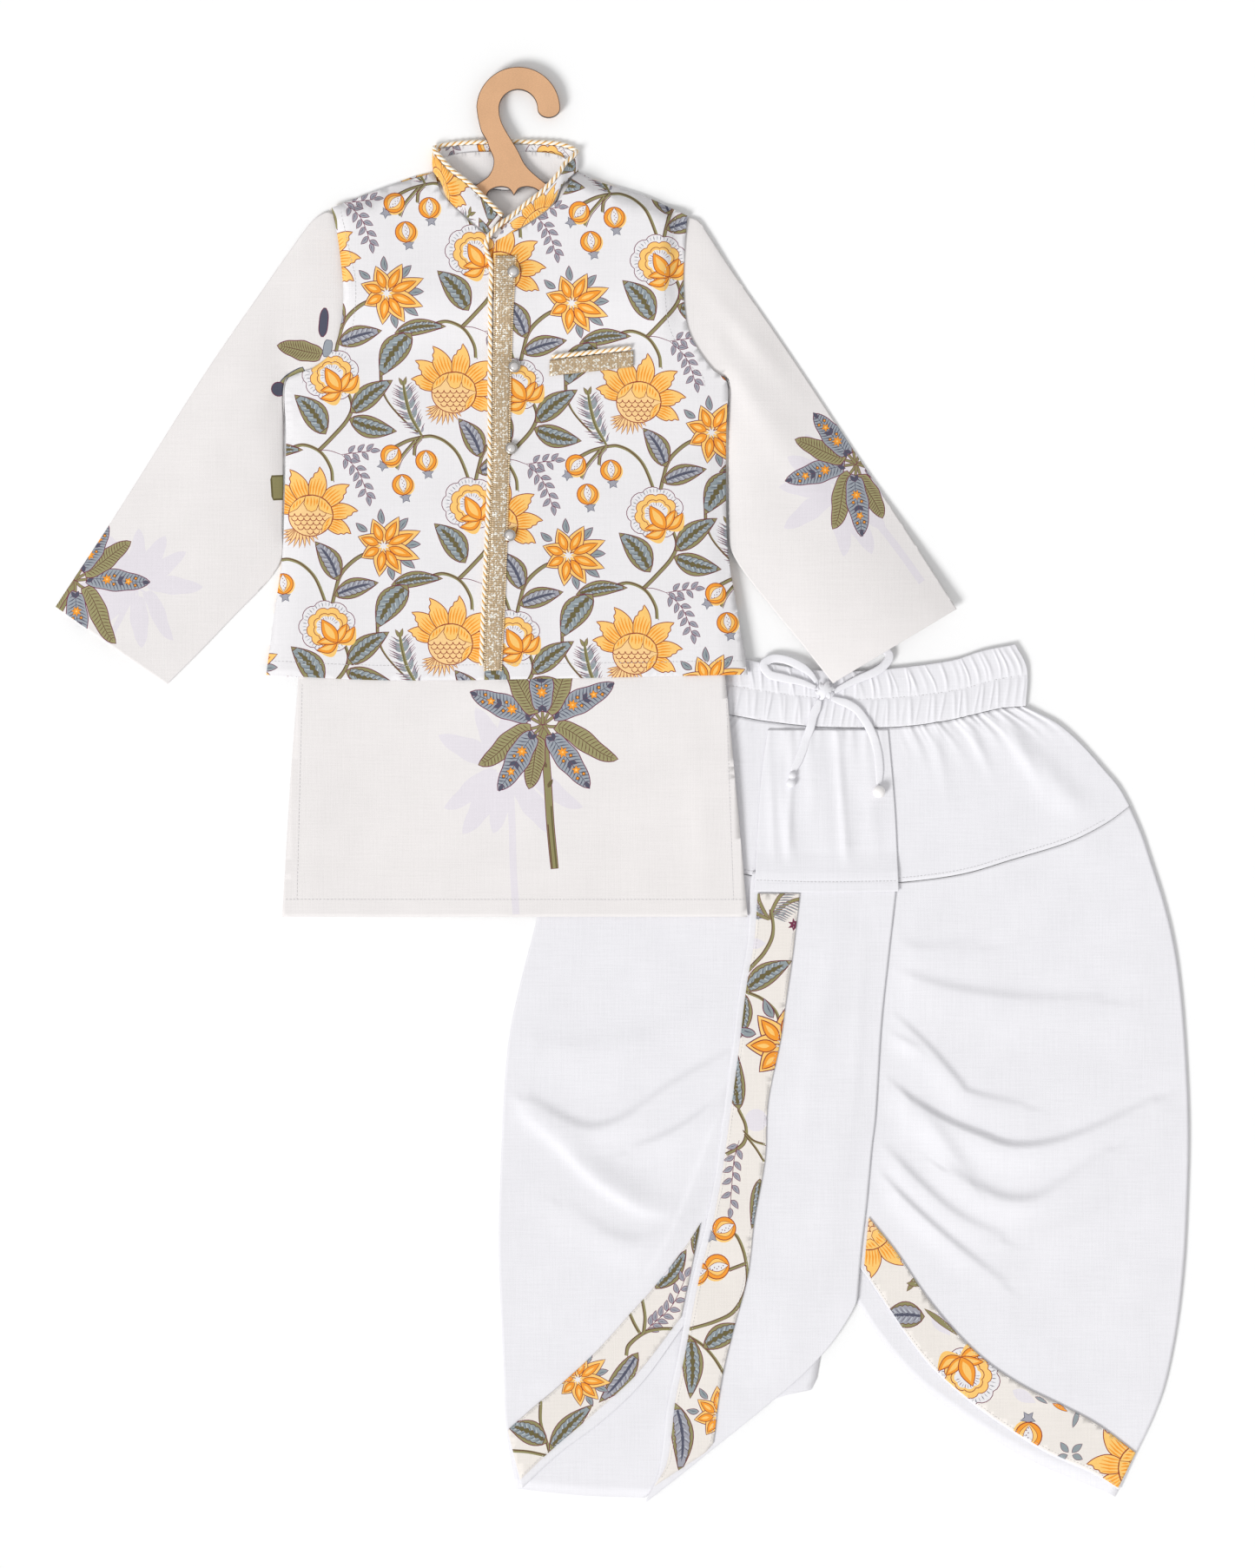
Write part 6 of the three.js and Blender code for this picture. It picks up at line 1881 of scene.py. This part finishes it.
points, faces = gridSheet(
    laceAt, lambda x, y, u, v: laceHeight(x, y) - 0.5 * np.abs(2 * u - 1) ** 8,
    np.linspace(0, 1, 14), np.linspace(0, 1, 160),
)
lace = addObject("placketLace", points, faces, finishes["braid"])
finishSheet(lace, 0.8, ["jacket_placket_lace"], "gold_lace", (0.014, 0.31), 0.0038, ["jacketFrontRight"])
lowLeft, lowRight = (pocket["left"], pocket["lowLeft"]), (pocket["right"], pocket["lowRight"])
highLeft, highRight = ((x, y + pocket["high"]) for x, y in (lowLeft, lowRight))
welt = patch([lowLeft, highLeft], [lowRight, highRight], [lowLeft, lowRight], [highLeft, highRight])
points, faces = gridSheet(
    welt, lambda x, y, u, v: pocket["z"] + pocket["rise"] - 0.4 * np.abs(2 * v - 1) ** 8,
    np.linspace(0, 1, 40), np.linspace(0, 1, 10),
)
weltPiece = addObject("pocketWelt", points, faces, finishes["braid"])
finishSheet(weltPiece, 0.8, ["jacket_pocket_welt"], "gold_lace", (0.063, 0.0122), 0.00075,
    ["jacketFrontRight"])
v = np.linspace(0, 1, 80)
for side, u in (("Left", 0), ("Right", 1)):
    x, y = laceAt(u + 0 * v, v)
    shift = -0.5 if u == 0 else 0.5
    points, faces = picots(np.stack([x + shift, y, laceHeight(x, y) - 0.5], 1), 0.75, 1.7)
    piece = addTube("lacePicots" + side, points, faces, finishes["paleGold"])
    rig.ride(piece, "root")
    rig.slot(piece, "gold_lace")

# Buttons: a silver rim round a pearl dome
buttons = [(-80.8, 383), (-80.2, 313), (-82.5, 252), (-83.6, 187)]
for i, (x, y) in enumerate(buttons):
    level = float(max(laceHeight(x, y + k * 4.5) for k in (-1, 0, 1))) + 0.1
    rim = [(3.9, 0), (4.5, 0.5), (4.55, 1.0), (4.2, 1.5), (3.5, 1.75), (3.1, 1.6), (3.0, 1.3)]
    points, faces = lathe(rim, 36, (x, y, level))
    trim(addTube(f"button{i + 1}", points, faces, finishes["silver"]), "button_metal", f"button_{i + 1}")
    dome = [(3.15 * math.cos(a), 1.35 + 2.0 * math.sin(a)) for a in np.linspace(0, 1.5, 9)]
    points, faces = lathe(dome, 32, (x, y, level))
    piece = addTube(f"pearl{i + 1}", points, faces, finishes["pearl"])
    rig.ride(piece, "root")
    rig.slot(piece, "button_metal")

# Hanger: the board's outline with a heart cut out, and burnt edges
hook = {"x": -77.4, "y": 505.7, "outer": 31.2, "inner": 14.3}
hanger = {"z": 3.9, "thick": 4, "burn": 0.45}
neckRight = [
    (-56, 449), (-61, 453), (-68, 459), (-73, 465), (-77, 473), (-81, 480), (-86, 488), (-89.6, 495),
    (-91.4, 501),
]
neckLeft = [
    (-107.6, 499), (-105, 489), (-101, 482), (-99, 476), (-96, 469), (-96, 463), (-98, 458),
    (-101, 454), (-110, 448),
]
armLeft = [
    (-125, 436), (-150, 427), (-172, 419), (-183, 412), (-186, 406), (-183, 401), (-174, 400),
    (-148, 403), (-118, 400),
]
armRight = [(2 * layer["centre"] - x, y) for x, y in reversed(armLeft)]


def arcOf(radius, start, end, count):
    turn = np.radians(np.linspace(start, end, count))
    return list(zip(hook["x"] + radius * np.cos(turn), hook["y"] + radius * np.sin(turn)))


tipHalf = (hook["outer"] - hook["inner"]) / 2
tip = [
    (hook["x"] + hook["inner"] + tipHalf * (1 - math.cos(math.pi * t)),
        hook["y"] - tipHalf * 0.8 * math.sin(math.pi * t))
    for t in np.linspace(0, 1, 12)[1:-1]
]
curves = [
    smooth(neckRight, 4), arcOf(hook["inner"], 178, 0, 30), tip, arcOf(hook["outer"], 0, 178, 50),
    smooth(neckLeft, 4),
    smooth(armLeft, 4), [(layer["centre"], 397)], smooth(armRight, 4),
]
rows = np.vstack([np.array(part, float) for part in curves])
board = counted(rows[:, 0] + 1j * rows[:, 1])
heartHalf = bowed([0j, 4 + 5.2j, 11 + 6.4j, 17.6 + 4j, 20.3 - 0.6j, 17.6 - 7j, 10 - 15.5j, -23j], 6)
heart = np.concatenate([heartHalf, -np.conj(heartHalf[-2:0:-1])]) - 80.6 + 441j
points, faces, tints = mosaic(
    board, [(board, "scorch"), (swollen(board, -hanger["burn"]), "board"),
        (swollen(heart, hanger["burn"]), "scorch")],
    lambda x, y: (x, y, hanger["z"] + hanger["thick"] + 0 * x), 8, [counted(heart)],
)
piece = addObject("hangerBoard", points, faces, finishes["board"], tints)
piece.data.shade_flat()
piece.data.materials.append(finishes["scorch"])
wall = piece.modifiers.new("board", "SOLIDIFY")
wall.thickness = hanger["thick"] * mm
wall.offset = -1
wall.material_offset_rim = 1
trim(piece, "hanger_board", "hanger")

# Drawstring's knot, and what is tied at the ends of its tails
knot = {"x": 151.5, "y": 71, "r": 5.5, "rise": 6}
parts = [ball((knot["x"], knot["y"], layer["bow"]), knot["r"] * 0.9, knot["rise"] * 0.92)]
for turn, bulge in ((62, 1.0), (118, 0.9), (5, 0.95)):
    t = np.linspace(-0.5, 0.5, 25) * np.pi * 1.06
    reach = knot["r"] * bulge
    line = np.stack([reach * np.sin(t), 0 * t + 0.4 * np.sin(2 * t),
            knot["rise"] * 0.94 * np.cos(t) * 0.5], 1)
    c, s = math.cos(math.radians(turn)), math.sin(math.radians(turn))
    line = np.stack([line[:, 0] * c - line[:, 1] * s, line[:, 0] * s + line[:, 1] * c, line[:, 2]], 1)
    parts.append(tube(line + [knot["x"], knot["y"], layer["bow"] + knot["rise"] * 0.52], 2.2, 0.7, 10, 0.8))
points, faces = joined(parts)
trim(addTube("tieKnot", points, faces, finishes["tie"]), "tie_cloth", "drawstring_knot")
points, faces = joined([
    ball((127.4, 7.6, layer["trim"]), 2.9, 4.4), ball((126.4, 2.0, layer["trim"]), 3.5, 5.0),
    ball((127, 5.0, layer["trim"]), 2.2, 4.0),
])
leftKnot = trim(addTube("tailKnot", points, faces, finishes["tie"]), "tie_cloth", "drawstring_bead_left")
points, faces = ball((192, -4.6, layer["trim"]), 4.6, 8.2, 28, 18)
rightBead = trim(addTube("tailBead", points, faces, finishes["bead"]), "bead_wood", "drawstring_bead_right")
onTail = {"drawstring_tail_left": [leftKnot], "drawstring_tail_right": [rightBead]}
for name, (piece, line, end) in tiePieces.items():
    length = float(np.linalg.norm(np.diff(line, axis=0), axis=1).sum()) * mm
    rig.cord(
        piece, exit=line[0] * mm, length=length, diameter=6.4 * mm, far_end=end, stiffness="limp",
        lay="loose",
        path=line * mm, with_pieces=onTail.get(name, []),
    )
print("stage: trims ready")


# Stitches: rows of short threads on the cloth
def stitches(name, line, heightOf, length=1.9, gap=0.9, wide=0.42, slot="kurta_cloth"):
    # Each is a small block with a raised middle, at even steps along the line
    flat = smooth([(x, y, 0) for x, y in line], 8)
    run = np.concatenate([[0], np.cumsum(np.hypot(*np.diff(flat[:, :2], axis=0).T))])
    at = np.arange(0.5 * gap, run[-1] - length, length + gap)
    x, y = (np.interp(at + 0.5 * length, run, flat[:, k]) for k in (0, 1))
    ahead = np.stack([np.interp(at + length, run, flat[:, k]) - np.interp(at, run,
                flat[:, k]) for k in (0, 1)], 1)
    ahead /= np.hypot(*ahead.T)[:, None]
    centre = np.stack([x, y, heightOf(x, y)], 1)
    along = np.column_stack([ahead, 0 * x])[:, None]
    side = np.column_stack([-ahead[:, 1], ahead[:, 0], 0 * x])[:, None]
    ends = np.array([
        (-1, 0, 0), (-0.5, -1, 0.5), (-0.5, 1, 0.5), (0.5, -1, 0.5), (0.5, 1, 0.5), (1, 0, 0), (0, 0, 1.0),
    ])
    points = centre[:, None] + along * ends[:, :1] * length / 2 + side * ends[:, 1:2] * wide / 2
    points = points + ends[:, 2:] * [0, 0, 0.22]
    shape = np.array([
        (0, 1, 6), (0, 6, 2), (1, 3, 6), (2, 6, 4), (3, 5, 6), (5, 4, 6), (0, 2, 1), (1, 2, 4),
        (1, 4, 3), (3, 4, 5),
    ])
    faces = (shape[None] + 7 * np.arange(len(at))[:, None, None]).reshape(-1, 3)
    piece = addObject(name, points.reshape(-1, 3), faces, finishes["thread"])
    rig.ride(piece, "root")
    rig.slot(piece, slot)


def onPatch(at, u, v, count=40):
    u, v = np.broadcast_to(u, count) + 0.0, np.broadcast_to(v, count) + 0.0
    return list(zip(*at(u, v)))


def along(start, end, count=40):
    return np.linspace(start, end, count)


def kurtaTop(x, y):
    return kurtaFrontZ(x, y) + cloth + wrinkles(x, y, kurta["creases"])


stitches("kurtaHemStitch", [(-252, -85), (93, -85)], kurtaTop)
for side, x0, x1 in (("Left", -243, -239), ("Right", 83.5, 77.5)):
    stitches("kurtaSide" + side, [(x0, -86), (0.5 * (x0 + x1), -6), (x1, 76)], kurtaTop)
for side, at, top in (("Left", jacketLeftAt, leftTop), ("Right", jacketRightAt, rightTop)):
    line = onPatch(at, along(0.01, 0.99), 0.03)
    stitches("jacketHem" + side, line, lambda x, y: top(x, y)[2], slot="jacket_print")
for side, at, top, u in (("Right", jacketRightAt, rightTop, 0.9), ("Left", jacketLeftAt, leftTop, 0.075)):
    line = onPatch(at, u, along(0.62, 0.99))
    stitches("armhole" + side, line, lambda x, y: top(x, y)[2], slot="jacket_print")
dhotiTop = layer["front"] + cloth
yokeLine = [(x, y + 3.2) for x, y in yokeLow[1:-1]]
stitches("yokeSeam", yokeLine, lambda x, y: dhotiTop + 0 * x, 1.8, 0.9, 0.4, "dhoti_cloth")
flapTop = layer["panel"] + layer["step"] + cloth - 0.1
flapLine = [(100, -70.5), (152, -72), (206, -71)]
stitches("flapHem", flapLine, lambda x, y: flapTop + 0 * x, 1.8, 0.9, 0.45, "dhoti_cloth")
waistTopZ = layer["waistFront"] + 1.25
for name, v in (("Low", 0.02), ("Middle", 0.5), ("Top", 0.97)):
    line = onPatch(waistAt, along(0.005, 0.995), v)
    stitches("waistStitch" + name, line, lambda x, y: waistTopZ + 0 * x, 2.0, 0.8, 0.6, "dhoti_cloth")
for name, line, top in (
    ("LeftLow", onPatch(bandLeftAt, along(0.01, 0.99), 0.04), sideTop),
    ("LeftHigh", onPatch(bandLeftAt, along(0.01, 0.99), 0.96), sideTop),
    ("RightLow", onPatch(bandRightAt, along(0.01, 0.99), 0.04), sideTop),
    ("RightHigh", onPatch(bandRightAt, along(0.01, 0.99), 0.96), sideTop),
    ("CentreLeft", onPatch(centreAt, 0.06, along(0.01, 0.99)), centreTop),
    ("CentreRight", onPatch(centreAt, 0.94, along(0.01, 0.99)), centreTop),
):
    stitches("band" + name, line, top, 1.6, 1.0, 0.35, "border_print")
print("stage: stitches ready")

# Floor, and the sizes for comparison with the solids
floorFinish = Finish("floorFinish", {"Roughness": 0.95, "Base Color": linear(248, 248, 248)})
floorFinish.bump(floorFinish.noise((300, 300, 300), 0, 2), 0.01 * mm)
reach = 3000
floor = addObject(
    "floorSheet", [(-reach, -reach, -0.3), (reach, -reach, -0.3), (reach, reach, -0.3),
        (-reach, reach, -0.3)],
    [(0, 1, 2, 3)], floorFinish.material,
)
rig.stage(floor)
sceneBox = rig.bounds()
with open("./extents.json", "w") as out:
    json.dump([[list(corner) for corner in pair] for pair in (cadBox, sceneBox)], out)
